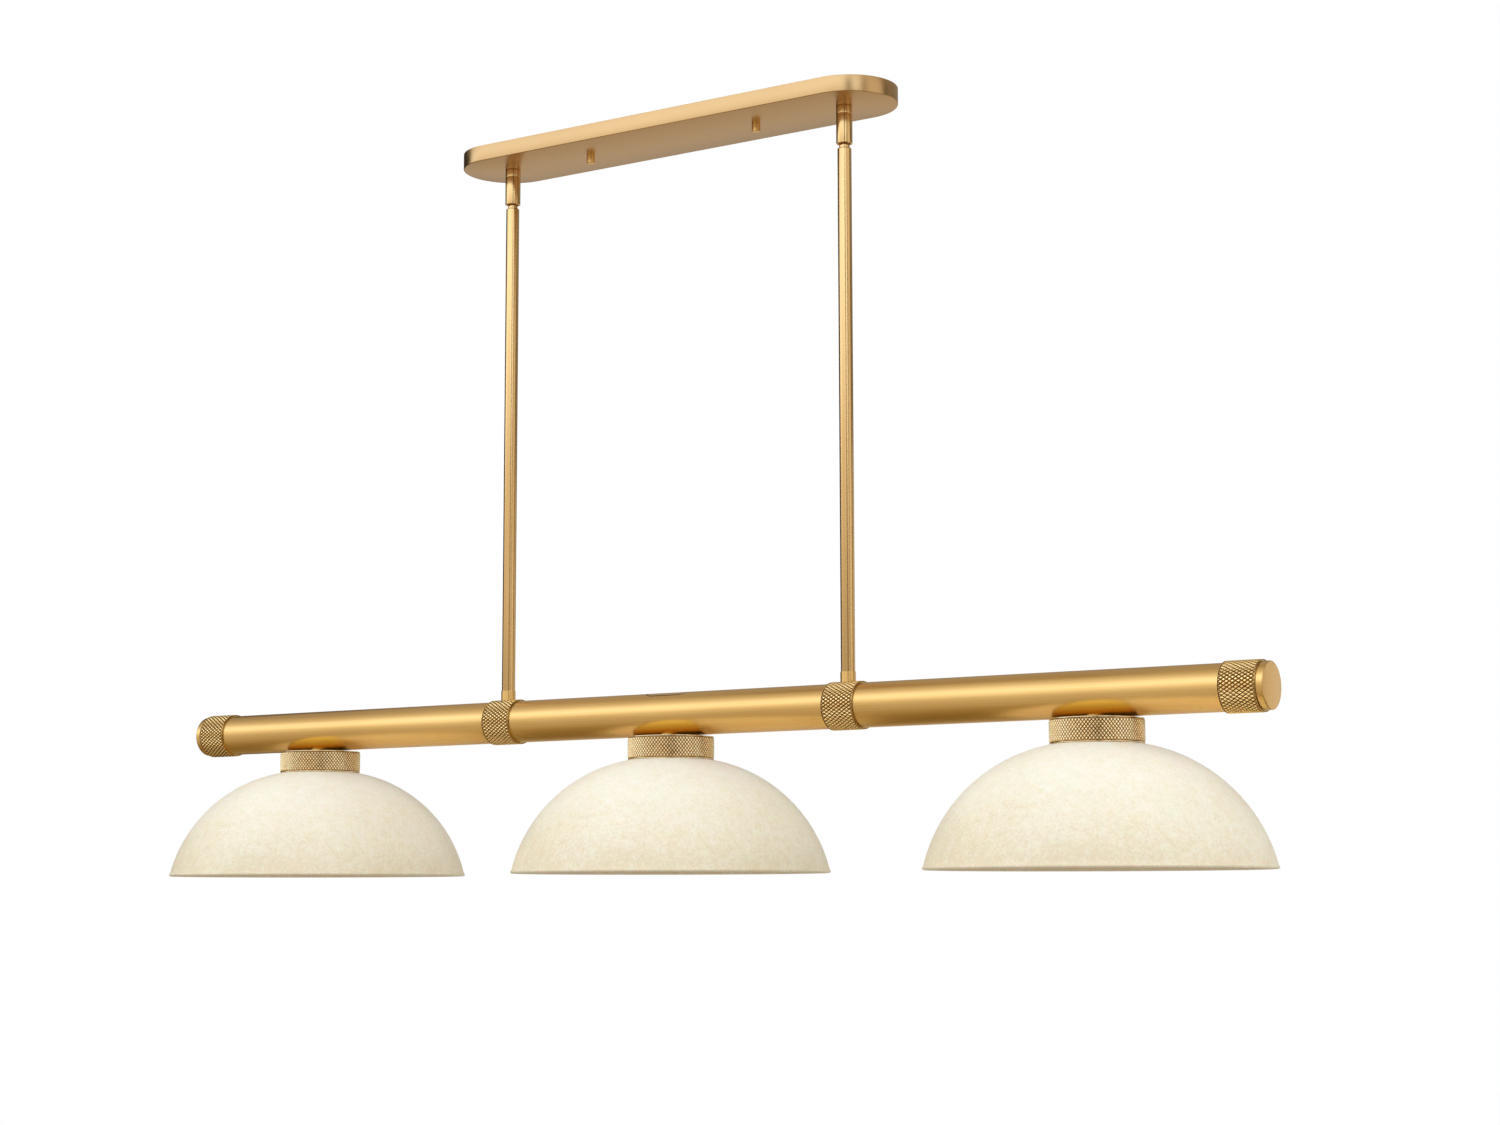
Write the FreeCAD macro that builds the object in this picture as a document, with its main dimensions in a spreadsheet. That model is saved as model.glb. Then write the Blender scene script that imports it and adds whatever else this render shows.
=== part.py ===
import FreeCAD, Part
import math
import os
import re
import Sketcher

# A linear billiard light: a ceiling canopy, two rods on hang-straight ball swivels, one long
# tube and three glass dome shades under knurled collars.
# Frame: origin on the ceiling plane at the canopy's middle, +X along the tube, +Z up.
# Left is -X and right is +X. All lengths are in millimetres.

SIZES = [
    ("tube_drop", 702, "ceiling to the tube's axis"),
    ("rod_spacing", 480, "between the two rods"),
    ("shade_setback", 187, "outer shade's centre from the tube's end"),
    ("fit_gap", 0.05, "radial gap of round pieces that fit in each other"),
    ("face_gap", 0.05, "gap between faces that are screwed together"),
    ("overrun", 5, "how far a cut runs past its piece"),
    ("canopy_length", 604, "canopy, end to end"),
    ("canopy_width", 114, "canopy, front to back"),
    ("canopy_height", 19, "canopy, ceiling to its underside"),
    ("canopy_wall", 1.5, "sheet of the canopy"),
    ("canopy_bevel", 0.8, "bevel round the canopy's lower edge"),
    ("bracket_length", 264, "mounting strap"),
    ("bracket_width", 30, "mounting strap"),
    ("bracket_thickness", 2, "mounting strap"),
    ("box_slot_spacing", 88.9, "screw slots for the ceiling box"),
    ("box_slot_width", 4.6, "screw slots for the ceiling box"),
    ("box_slot_length", 14, "screw slots for the ceiling box, end to end"),
    ("wire_hole_radius", 10, "supply wires' hole in the strap"),
    ("stud_spacing", 240, "between the canopy's two studs"),
    ("stud_radius", 2, "canopy stud"),
    ("stud_nut_width", 7, "jam nut across its flats"),
    ("stud_nut_height", 3, "jam nut"),
    ("cap_nut_radius", 5, "round cap nut below the canopy"),
    ("cap_nut_height", 10, "round cap nut below the canopy"),
    ("cap_nut_wall", 2, "closed end of the cap nut"),
    ("cap_nut_bevel", 0.5, "edge of the cap nut"),
    ("ground_screw_place", 72, "ground screw from the strap's middle"),
    ("ground_screw_radius", 2, "ground screw's shank"),
    ("ground_head_radius", 4, "ground screw's head"),
    ("ground_head_height", 2.5, "ground screw's head"),
    ("thread_radius", 5, "hollow threaded nipple"),
    ("thread_bore", 3.5, "bore of a threaded nipple"),
    ("thread_gap", 0.1, "thread to the hole it screws into"),
    ("thread_grip", 12, "length of thread that a piece holds"),
    ("nut_width", 14, "nipple nut across its flats"),
    ("nut_height", 3, "nipple nut"),
    ("nut_seat_gap", 0.1, "nipple nut's corners to the tube's inner wall"),
    ("nipple_end", 2, "thread that stands past its nut"),
    ("hanger_height", 9.6, "upper collar of a swivel"),
    ("sleeve_radius", 9.25, "swivel sleeve and upper collar"),
    ("sleeve_length", 34.4, "swivel sleeve"),
    ("sleeve_bevel", 0.4, "lower edge of the sleeve"),
    ("ball_radius", 7.75, "swivel ball"),
    ("ball_gap", 0.08, "running gap round the ball"),
    ("ball_bore", 3.4, "wire bore in the ball and stem"),
    ("mouth_radius", 7, "opening of the sleeve under the ball"),
    ("mouth_depth", 7, "ball's centre above the sleeve's lower edge"),
    ("stem_radius", 4.2, "stem under the ball"),
    ("neck_radius", 5.9, "neck between sleeve and rod"),
    ("neck_drop", 9.4, "top of the neck below the ball's centre"),
    ("rod_top_drop", 12, "top of the rod below the ball's centre"),
    ("rod_radius", 8, "rod"),
    ("rod_bevel", 1, "top edge of the rod"),
    ("coupling_radius", 8.6, "ferrule at the rod's foot"),
    ("coupling_height", 10.6, "ferrule above the knurled ring"),
    ("coupling_socket", 4, "how deep the rod stands in the ferrule"),
    ("tube_length", 1460, "main tube"),
    ("tube_radius", 25, "main tube"),
    ("tube_wall", 2, "main tube"),
    ("slot_length", 64, "wiring slot in the top of the tube"),
    ("slot_width", 28, "wiring slot in the top of the tube"),
    ("slot_gap", 0.15, "gap round the slot's cover"),
    ("ring_width", 40, "knurled ring along the tube"),
    ("ring_wall", 2, "knurled ring's wall"),
    ("cap_length", 8, "end cap beyond the tube"),
    ("cap_bevel", 0.8, "edge of the end cap's face"),
    ("cap_web", 2, "end cap's disc inside the tube"),
    ("cap_spigot_length", 14, "end cap's spigot in the tube"),
    ("cap_spigot_wall", 3, "end cap's spigot"),
    ("collar_radius", 50, "knurled shade collar"),
    ("collar_lift_gap", 1, "collar's top under the tube"),
    ("collar_height", 26.5, "knurled shade collar"),
    ("collar_wall", 2.5, "skirt of the collar"),
    ("collar_plate", 2, "top plate of the collar"),
    ("collar_bevel", 1.5, "inner lower edge of the collar"),
    ("saddle_radius", 12, "saddle washer between collar and tube"),
    ("saddle_height", 6, "saddle washer before its hollow is cut"),
    ("shade_radius", 184, "glass dome at its rim"),
    ("shade_drop", 182.5, "tube's axis to the glass rim"),
    ("dome_radius", 169, "arc of the dome's outline"),
    ("glass_wall", 4, "glass"),
    ("glass_seat_gap", 0.3, "glass under the collar's edge"),
    ("glass_rim_round", 1.5, "rounding of the glass rim"),
    ("crown_radius", 44, "flat crown of the glass"),
    ("crown_rise", 1.8, "crown above the collar's lower edge"),
    ("glass_hole_gap", 1, "glass hole round the lamp holder"),
    ("gasket_height", 1.5, "washer under the glass crown"),
    ("clamp_radius", 29, "threaded ring that clamps the glass"),
    ("clamp_height", 6, "threaded ring that clamps the glass"),
    ("holder_radius", 20, "ceramic lamp holder"),
    ("holder_height", 50, "ceramic lamp holder"),
    ("holder_floor", 16, "ceramic above the lamp cavity"),
    ("cavity_radius", 14.5, "lamp cavity in the ceramic"),
    ("shell_wall", 0.7, "brass screw shell"),
    ("shell_height", 30, "brass screw shell"),
    ("shell_lip", 4, "inner lip at the shell's top"),
    ("contact_radius", 5, "centre contact"),
    ("contact_height", 1.2, "centre contact"),
    ("contact_pip_radius", 2.5, "raised middle of the contact"),
    ("contact_pip_height", 1.8, "raised middle of the contact"),
    ("bulb_length", 105, "bulb, contact tip to glass end"),
    ("bulb_radius", 30, "bulb's globe"),
    ("bulb_shoulder", 16, "radius where the neck meets the globe"),
    ("bulb_neck", 12.6, "bulb's neck"),
    ("bulb_neck_length", 8, "straight part of the bulb's neck"),
    ("base_radius", 13.2, "bulb's screw base"),
    ("base_height", 25, "bulb's screw base"),
    ("base_taper", 4, "cone at the top of the bulb's base"),
    ("base_tip_radius", 4.5, "contact tip of the base"),
    ("base_tip_height", 2, "contact tip of the base"),
    ("lead_radius", 1.5, "insulated lead"),
    ("lead_offset", 1.65, "lead's centre beside a bore's centre"),
    ("lead_bend", 6, "bend radius of a lead"),
    ("lead_run_height", 3, "lead's run above the tube's axis"),
    ("lead_rise", 5, "leads in the canopy below the ceiling"),
    ("lead_side_run", 14, "leads pass beside the studs"),
    ("lead_side_length", 40, "where a lead turns beside the strap"),
    ("connector_place", 30, "mouth of a wire connector from the middle"),
    ("connector_radius", 5.2, "wire connector"),
    ("connector_nose", 3.2, "wire connector's closed end"),
    ("connector_length", 20, "wire connector"),
]

document = FreeCAD.newDocument("BilliardLight")
sheet = document.addObject("Spreadsheet::Sheet", "Sizes")
for row, (alias, number, meaning) in enumerate(SIZES, start=1):
    sheet.set(f"A{row}", meaning)
    sheet.set(f"B{row}", str(number))
    sheet.setAlias(f"B{row}", alias)
document.recompute()
ALIASES = {alias for alias, number, meaning in SIZES}


def bound(text):
    """The expression with each alias read from the sheet."""
    return re.sub(r"[a-z_]+", lambda word: "Sizes." + word[0] if word[0] in ALIASES else word[0], text)


def value(text):
    """The number that an expression gives now."""
    return float(sheet.evalExpression(bound(text)))


def place(item, x="0", y="0", z="0", axis=None, angle=0):
    """Put an object at an expression's place, turned about an axis."""
    if axis:
        item.Placement = FreeCAD.Placement(FreeCAD.Vector(), FreeCAD.Rotation(axis, angle))
    for letter, text in zip("xyz", (x, y, z)):
        if text != "0":
            item.setExpression(f"Placement.Base.{letter}", bound(text))
    return item


UPRIGHT = FreeCAD.Vector(0, 0, 1)
ACROSS = FreeCAD.Vector(0, 1, 0)
HALF_TURN = 180


# Sketches


def new_sketch(body, name, plane):
    """A sketch on one of the body's own origin planes."""
    sketch = body.newObject("Sketcher::SketchObject", name)
    for feature in body.Origin.OriginFeatures:
        if feature.Role == plane:
            sketch.AttachmentSupport = (feature, "")
    sketch.MapMode = "FlatFace"
    return sketch


def pin_point(sketch, edge, end, across, up):
    """Hold one end of an edge at the place that two expressions give."""
    for kind, text, axis in (("DistanceX", across, -2), ("DistanceY", up, -1)):
        if text == "0":
            sketch.addConstraint(Sketcher.Constraint("PointOnObject", edge, end, axis))
            continue
        number = sketch.addConstraint(Sketcher.Constraint(kind, -1, 1, edge, end, value(text)))
        sketch.setExpression(f"Constraints[{number}]", bound(text))


def arc_edge(start, finish, radius, side):
    """The shorter arc from start to finish, its centre on the left (1) or right (-1)."""
    chord = finish - start
    middle = (start + finish) * 0.5
    reach = math.sqrt(max(radius ** 2 - (chord.Length / 2) ** 2, 0))
    left = FreeCAD.Vector(-chord.y, chord.x, 0).normalize()
    centre = middle + left * (reach * side)
    crest = centre - left * (radius * side)
    return Part.Arc(start, crest, finish)


def draw_outline(sketch, outline):
    """A closed outline of points; a point may carry the radius and side of the arc to it."""
    corners = [FreeCAD.Vector(value(point[0]), value(point[1]), 0) for point in outline]
    for number, point in enumerate(outline):
        start = corners[number - 1]
        finish = corners[number]
        if len(point) == 4:
            sketch.addGeometry(arc_edge(start, finish, value(point[2]), point[3]), False)
        else:
            sketch.addGeometry(Part.LineSegment(start, finish), False)
    # an arc is stored anticlockwise, so one with its centre on the right ends where it starts
    last = [1 if len(point) == 4 and point[3] < 0 else 2 for point in outline]
    for number, point in enumerate(outline):
        following = (number + 1) % len(outline)
        sketch.addConstraint(
            Sketcher.Constraint("Coincident", number, last[number], following, 3 - last[following]))
    for number, point in enumerate(outline):
        pin_point(sketch, number, last[number], point[0], point[1])
        if len(point) == 4:
            held = sketch.addConstraint(Sketcher.Constraint("Radius", number, value(point[2])))
            sketch.setExpression(f"Constraints[{held}]", bound(point[2]))


def draw_circle(sketch, radius, across="0", up="0"):
    """A circle of a bound radius round a bound centre."""
    centre = FreeCAD.Vector(value(across), value(up), 0)
    edge = sketch.addGeometry(Part.Circle(centre, UPRIGHT, value(radius)), False)
    held = sketch.addConstraint(Sketcher.Constraint("Radius", edge, value(radius)))
    sketch.setExpression(f"Constraints[{held}]", bound(radius))
    pin_point(sketch, edge, 3, across, up)


def draw_stadium(sketch, length, width, across="0"):
    """A slot outline with round ends, its length along the sketch's first axis."""
    half = f"({width}) / 2"
    reach = f"(({length}) - ({width})) / 2"
    radius = value(half)
    first = sketch.GeometryCount
    tops = []
    feet = []
    for side in (1, -1):
        middle = FreeCAD.Vector(value(f"({across}) + {side} * {reach}"), 0, 0)
        top = middle + FreeCAD.Vector(0, radius, 0)
        foot = middle - FreeCAD.Vector(0, radius, 0)
        crest = middle + FreeCAD.Vector(side * radius, 0, 0)
        edge = sketch.addGeometry(Part.Arc(foot, crest, top) if side > 0 else Part.Arc(top, crest, foot))
        pin_point(sketch, edge, 3, f"({across}) + {side} * {reach}", "0")
        held = sketch.addConstraint(Sketcher.Constraint("Radius", edge, radius))
        sketch.setExpression(f"Constraints[{held}]", bound(half))
        for end in (1, 2):
            sketch.addConstraint(Sketcher.Constraint("Vertical", edge, end, edge, 3))
        tops.append(top)
        feet.append(foot)
    upper = sketch.addGeometry(Part.LineSegment(tops[0], tops[1]))
    lower = sketch.addGeometry(Part.LineSegment(feet[1], feet[0]))
    chain = [first, upper, first + 1, lower]
    for number, edge in enumerate(chain):
        sketch.addConstraint(Sketcher.Constraint("Coincident", edge, 2, chain[(number + 1) % 4], 1))


# Bodies


def turned(name, outline, along="Z"):
    """A turned body: the outline in the XZ plane, spun about the Z or the X axis."""
    body = document.addObject("PartDesign::Body", name)
    sketch = new_sketch(body, name + "_outline", "XZ_Plane")
    draw_outline(sketch, outline)
    spin = body.newObject("PartDesign::Revolution", name + "_turning")
    spin.Profile = sketch
    spin.ReferenceAxis = (sketch, ["V_Axis" if along == "Z" else "H_Axis"])
    spin.Angle = 360
    body.Tip = spin
    return body


def padded(name, draw, length, up=True):
    """A plate or prism: what draw puts on the XY plane, raised or lowered by a length."""
    body = document.addObject("PartDesign::Body", name)
    sketch = new_sketch(body, name + "_plan", "XY_Plane")
    draw(sketch)
    pad = body.newObject("PartDesign::Pad", name + "_pad")
    pad.Profile = sketch
    pad.setExpression("Length", bound(length))
    pad.Reversed = not up
    body.Tip = pad
    return body


def pocketed(body, name, draw, length, plane="XY_Plane", up=False, both=False):
    """A cut from one of the body's planes; its volume has to go down."""
    document.recompute()
    before = body.Shape.Volume
    sketch = new_sketch(body, name + "_plan", plane)
    draw(sketch)
    cut = body.newObject("PartDesign::Pocket", name)
    cut.Profile = sketch
    cut.setExpression("Length", bound(length))
    cut.Reversed = up
    cut.Midplane = both
    body.Tip = cut
    document.recompute()
    if body.Shape.Volume >= before:
        raise RuntimeError(f"{name} cuts nothing")
    return body


def edged(body, name, kind, size, wanted):
    """A chamfer or fillet on the edges that wanted picks."""
    document.recompute()
    base = body.Tip
    names = [f"Edge{number}" for number, edge in enumerate(base.Shape.Edges, start=1) if wanted(edge)]
    feature = body.newObject("PartDesign::" + kind, name)
    feature.Base = (base, names)
    feature.setExpression("Size" if kind == "Chamfer" else "Radius", bound(size))
    body.Tip = feature
    return body


def saddled(body, radius):
    """Hollow a piece to sit on a tube along X through the body's origin."""
    reach = "4 * tube_radius"
    return pocketed(body, body.Name + "_saddle", lambda sketch: draw_circle(sketch, radius),
                    reach, plane="YZ_Plane", both=True)


def hexagon(width):
    """The corners of a hexagon, two of them along X."""
    across_corners = f"({width}) / sqrt(3)"
    half_side = f"({width}) / sqrt(12)"
    half_flat = f"({width}) / 2"
    return [(across_corners, "0"), (half_side, half_flat), (f"-{half_side}", half_flat),
            (f"-{across_corners}", "0"), (f"-{half_side}", f"-{half_flat}"), (half_side, f"-{half_flat}")]


def hex_nut(name, width, height, hole):
    """A hexagonal nut from z = 0 up to its height."""

    def plan(sketch):
        draw_outline(sketch, hexagon(width))

    body = padded(name, plan, height)
    return pocketed(body, name + "_hole", lambda sketch: draw_circle(sketch, hole),
                    f"{height} + overrun", up=True)


def pipe(name, outer, inner, bottom, top):
    """A plain tube along Z between two heights."""
    return turned(name, [(inner, bottom), (outer, bottom), (outer, top), (inner, top)])


def grouped(label, members):
    """Identical pieces kept as separate solids in one node."""
    group = document.addObject("Part::Compound", label)
    group.Links = members
    return group


NODES = []


def keep(item, label):
    """Make an object one of the light's pieces."""
    item.Label = label
    NODES.append(item)
    return item


SIDES = (("left", -1), ("right", 1))
LAMPS = (("left", -1), ("centre", 0), ("right", 1))


def share_of(spacing, number):
    """The place of a piece as a signed share of a spacing."""
    if number == 0:
        return "0"
    return f"{number} * ({spacing})"


def rod_place(side):
    return share_of("rod_spacing / 2", side)


def stud_place(side):
    return share_of("stud_spacing / 2", side)


def lamp_place(number):
    return share_of("tube_length / 2 - shade_setback", number)


# Heights that several pieces share

CANOPY_FLOOR = "(-canopy_height + canopy_wall)"
UNDERSIDE = "(-canopy_height)"
HANGER_FOOT = "(-canopy_height - hanger_height)"
SLEEVE_FOOT = "(-canopy_height - hanger_height - sleeve_length)"
BALL = "(-canopy_height - hanger_height - sleeve_length + mouth_depth)"
ROD_TOP = f"({BALL} - rod_top_drop - face_gap)"
SEAT = "(ball_radius + ball_gap)"
THREAD_HOLE = "(thread_radius + thread_gap)"
STUD_HOLE = "(stud_radius + fit_gap)"
RING_RADIUS = "(tube_radius + fit_gap + ring_wall)"
TUBE_BORE = "(tube_radius - tube_wall)"

# Heights below, measured from the tube's axis

NUT_SEAT = f"(sqrt({TUBE_BORE} ^ 2 - nut_width ^ 2 / 3) - nut_seat_gap)"
NIPPLE_TIP = f"({NUT_SEAT} - nut_height - nipple_end)"
COLLAR_TOP = "(-tube_radius - collar_lift_gap)"
COLLAR_FOOT = f"({COLLAR_TOP} - collar_height)"
COLLAR_CEILING = f"({COLLAR_TOP} - collar_plate)"
HOLDER_TOP = f"({COLLAR_CEILING} - face_gap)"
HOLDER_FOOT = f"({HOLDER_TOP} - holder_height)"
CAVITY_TOP = f"({HOLDER_TOP} - holder_floor)"
CROWN_TOP = f"({COLLAR_FOOT} + crown_rise)"
CROWN_UNDER = f"({CROWN_TOP} - glass_wall)"
BULB_TIP = f"({CAVITY_TOP} - contact_height - contact_pip_height - face_gap)"
BASE_FOOT = f"({BULB_TIP} - base_tip_height - base_height)"
GLOBE_CENTRE = f"({BULB_TIP} - bulb_length + bulb_radius)"


# The mounting strap screws to the ceiling box through two slots. It carries the canopy's studs.


def make_bracket():
    half_length = "bracket_length / 2"
    half_width = "bracket_width / 2"

    def strap(sketch):
        draw_outline(sketch, [(half_length, f"-{half_width}"), (half_length, half_width),
                              (f"-{half_length}", half_width), (f"-{half_length}", f"-{half_width}")])

    def holes(sketch):
        for side in (-1, 1):
            draw_stadium(sketch, "box_slot_length", "box_slot_width",
                         share_of("box_slot_spacing / 2", side))
            draw_circle(sketch, STUD_HOLE, stud_place(side))
        draw_circle(sketch, "wire_hole_radius")
        draw_circle(sketch, "ground_screw_radius + fit_gap", "ground_screw_place")

    body = padded("Bracket", strap, "bracket_thickness", up=False)
    pocketed(body, "BracketHoles", holes, "bracket_thickness + overrun")
    keep(body, "mounting_bracket")


def make_ground_screw():
    under = "(-bracket_thickness)"
    head_foot = f"({under} - ground_head_height)"
    body = turned("GroundScrew", [("0", head_foot), ("ground_head_radius", head_foot),
                                  ("ground_head_radius", under), ("ground_screw_radius", under),
                                  ("ground_screw_radius", "-face_gap"), ("0", "-face_gap")])
    keep(place(body, x="ground_screw_place"), "ground_screw")


def make_canopy_fixings():
    """Studs through the strap, a jam nut on each, and the round cap nuts that show."""
    studs = []
    jam_nuts = []
    cap_nuts = []
    closed = "(-canopy_height - cap_nut_height)"
    bore_end = f"({closed} + cap_nut_wall)"
    for word, side in SIDES:
        stud = turned(f"Stud_{word}", [("0", f"{bore_end} + face_gap"),
                                       ("stud_radius", f"{bore_end} + face_gap"),
                                       ("stud_radius", "-face_gap"), ("0", "-face_gap")])
        studs.append(place(stud, x=stud_place(side)))
        nut = hex_nut(f"JamNut_{word}", "stud_nut_width", "stud_nut_height", STUD_HOLE)
        jam_nuts.append(place(nut, x=stud_place(side), z="-bracket_thickness - stud_nut_height"))
        cap = turned(f"CapNut_{word}", [
            ("0", closed), ("cap_nut_radius - cap_nut_bevel", closed),
            ("cap_nut_radius", f"{closed} + cap_nut_bevel"), ("cap_nut_radius", UNDERSIDE),
            (STUD_HOLE, UNDERSIDE), (STUD_HOLE, bore_end), ("0", bore_end)])
        cap_nuts.append(place(cap, x=stud_place(side)))
    keep(grouped("StudPair", studs), "canopy_studs")
    keep(grouped("JamNutPair", jam_nuts), "stud_jam_nuts")
    keep(grouped("CapNutPair", cap_nuts), "cap_nuts")


# The canopy is a shallow pan with round ends. Its flat floor carries both swivels.


def make_canopy():
    body = padded("Canopy", lambda sketch: draw_stadium(sketch, "canopy_length", "canopy_width"),
                  "canopy_height", up=False)
    edged(body, "CanopyBevel", "Chamfer", "canopy_bevel",
          lambda edge: max(point.Z for point in edge.Vertexes) < -value("canopy_height / 2"))
    pocketed(body, "CanopyHollow",
             lambda sketch: draw_stadium(sketch, "canopy_length - 2 * canopy_wall",
                                         "canopy_width - 2 * canopy_wall"),
             "canopy_height - canopy_wall")

    def holes(sketch):
        for side in (-1, 1):
            draw_circle(sketch, THREAD_HOLE, rod_place(side))
            draw_circle(sketch, STUD_HOLE, stud_place(side))

    pocketed(body, "CanopyHoles", holes, "canopy_height + overrun")
    keep(body, "canopy")


# Each swivel is an upper collar nipped to the canopy, a sleeve screwed on it and a ball in the
# sleeve. The ball's stem screws into the rod, so the frame can swing and hang straight.


def make_swivel(word, side):
    nipple_top = f"({CANOPY_FLOOR} + nut_height + nipple_end)"
    spigot = f"({SEAT} - fit_gap)"
    hanger = turned(f"Hanger_{word}", [
        ("thread_bore", nipple_top), ("thread_bore", f"{HANGER_FOOT} - thread_grip / 2"),
        (spigot, f"{HANGER_FOOT} - thread_grip / 2"), (spigot, HANGER_FOOT),
        ("sleeve_radius", HANGER_FOOT), ("sleeve_radius", UNDERSIDE),
        ("thread_radius", UNDERSIDE), ("thread_radius", nipple_top)])
    keep(place(hanger, x=rod_place(side)), f"hanger_collar_{word}")

    seat_foot = f"({BALL} - sqrt({SEAT} ^ 2 - mouth_radius ^ 2))"
    sleeve_top = f"({HANGER_FOOT} - face_gap)"
    sleeve = turned(f"Sleeve_{word}", [
        (SEAT, sleeve_top), (SEAT, BALL), ("mouth_radius", seat_foot, SEAT, -1),
        ("mouth_radius", SLEEVE_FOOT), ("sleeve_radius - sleeve_bevel", SLEEVE_FOOT),
        ("sleeve_radius", f"{SLEEVE_FOOT} + sleeve_bevel"), ("sleeve_radius", sleeve_top)])
    keep(place(sleeve, x=rod_place(side)), f"swivel_sleeve_{word}")

    ball_top = "sqrt(ball_radius ^ 2 - ball_bore ^ 2)"
    ball_foot = "(-sqrt(ball_radius ^ 2 - stem_radius ^ 2))"
    stem = turned(f"BallStem_{word}", [
        ("ball_bore", ball_top, "ball_radius", 1), ("ball_bore", "-rod_top_drop - thread_grip"),
        ("thread_radius", "-rod_top_drop - thread_grip"), ("thread_radius", "-rod_top_drop"),
        ("neck_radius", "-rod_top_drop"), ("neck_radius", "-neck_drop"),
        ("stem_radius", "-neck_drop"), ("stem_radius", ball_foot),
        ("ball_radius", "0", "ball_radius", 1)])
    keep(place(stem, x=rod_place(side), z=BALL), f"ball_stem_{word}")


def make_rod(word, side):
    ring_top = f"(-tube_drop + {RING_RADIUS})"
    foot = f"({ring_top} + coupling_height - coupling_socket + face_gap)"
    rod = turned(f"Rod_{word}", [
        (THREAD_HOLE, foot), ("rod_radius", foot), ("rod_radius", f"{ROD_TOP} - rod_bevel"),
        ("rod_radius - rod_bevel", ROD_TOP), (THREAD_HOLE, ROD_TOP)])
    keep(place(rod, x=rod_place(side)), f"down_rod_{word}")

    top = f"({RING_RADIUS} + coupling_height)"
    step = f"({top} - coupling_socket)"
    bottom = "(tube_radius)"
    socket = "(rod_radius + fit_gap)"
    coupling = turned(f"Coupling_{word}", [
        (THREAD_HOLE, bottom), ("coupling_radius", bottom), ("coupling_radius", top),
        (socket, top), (socket, step), (THREAD_HOLE, step)])
    saddled(coupling, f"{RING_RADIUS} + fit_gap")
    keep(place(coupling, x=rod_place(side), z="-tube_drop"), f"rod_coupling_{word}")


def make_rod_fixings():
    """A hollow nipple and two hexagonal nuts at each rod."""
    canopy_nuts = []
    nipples = []
    tube_nuts = []
    for word, side in SIDES:
        nut = hex_nut(f"CanopyNut_{word}", "nut_width", "nut_height", THREAD_HOLE)
        canopy_nuts.append(place(nut, x=rod_place(side), z=CANOPY_FLOOR))
        nipple = pipe(f"RodNipple_{word}", "thread_radius", "thread_bore", NIPPLE_TIP,
                      f"{RING_RADIUS} + coupling_height + thread_grip")
        nipples.append(place(nipple, x=rod_place(side), z="-tube_drop"))
        nut = hex_nut(f"TubeNut_{word}", "nut_width", "nut_height", THREAD_HOLE)
        tube_nuts.append(place(nut, x=rod_place(side), z=f"-tube_drop + {NUT_SEAT} - nut_height"))
    keep(grouped("CanopyNutPair", canopy_nuts), "canopy_nipple_nuts")
    keep(grouped("RodNipplePair", nipples), "rod_nipples")
    keep(grouped("TubeNutPair", tube_nuts), "rod_nipple_nuts")


# The main tube carries everything below. Knurled rings cover its ends and the rods' feet.


def make_tube():
    half = "tube_length / 2"
    tube = turned("Tube", [(f"-{half}", TUBE_BORE), (half, TUBE_BORE),
                           (half, "tube_radius"), (f"-{half}", "tube_radius")], along="X")

    def top_holes(sketch):
        for side in (-1, 1):
            draw_circle(sketch, THREAD_HOLE, rod_place(side))
        draw_stadium(sketch, "slot_length", "slot_width")

    def lamp_holes(sketch):
        for word, number in LAMPS:
            draw_circle(sketch, THREAD_HOLE, lamp_place(number))

    pocketed(tube, "TubeTopHoles", top_holes, "tube_radius + overrun", up=True)
    pocketed(tube, "TubeLampHoles", lamp_holes, "tube_radius + overrun")
    keep(place(tube, z="-tube_drop"), "main_tube")


def make_slot_cover():
    """A curved plate that fills the wiring slot flush with the tube."""
    plug = padded("CoverPlug", lambda sketch: draw_stadium(
        sketch, "slot_length - 2 * slot_gap", "slot_width - 2 * slot_gap"), "tube_radius + overrun")
    curves = []
    for name, radius in (("CoverOuter", "tube_radius"), ("CoverInner", TUBE_BORE)):
        cylinder = document.addObject("Part::Cylinder", name)
        cylinder.setExpression("Radius", bound(radius))
        cylinder.setExpression("Height", bound("2 * slot_length"))
        curves.append(place(cylinder, x="-slot_length", axis=ACROSS, angle=HALF_TURN / 2))
    wall = document.addObject("Part::Cut", "CoverWall")
    wall.Base = curves[0]
    wall.Tool = curves[1]
    cover = document.addObject("Part::Common", "Cover")
    cover.Base = wall
    cover.Tool = plug
    keep(place(cover, z="-tube_drop"), "slot_cover")


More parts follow.
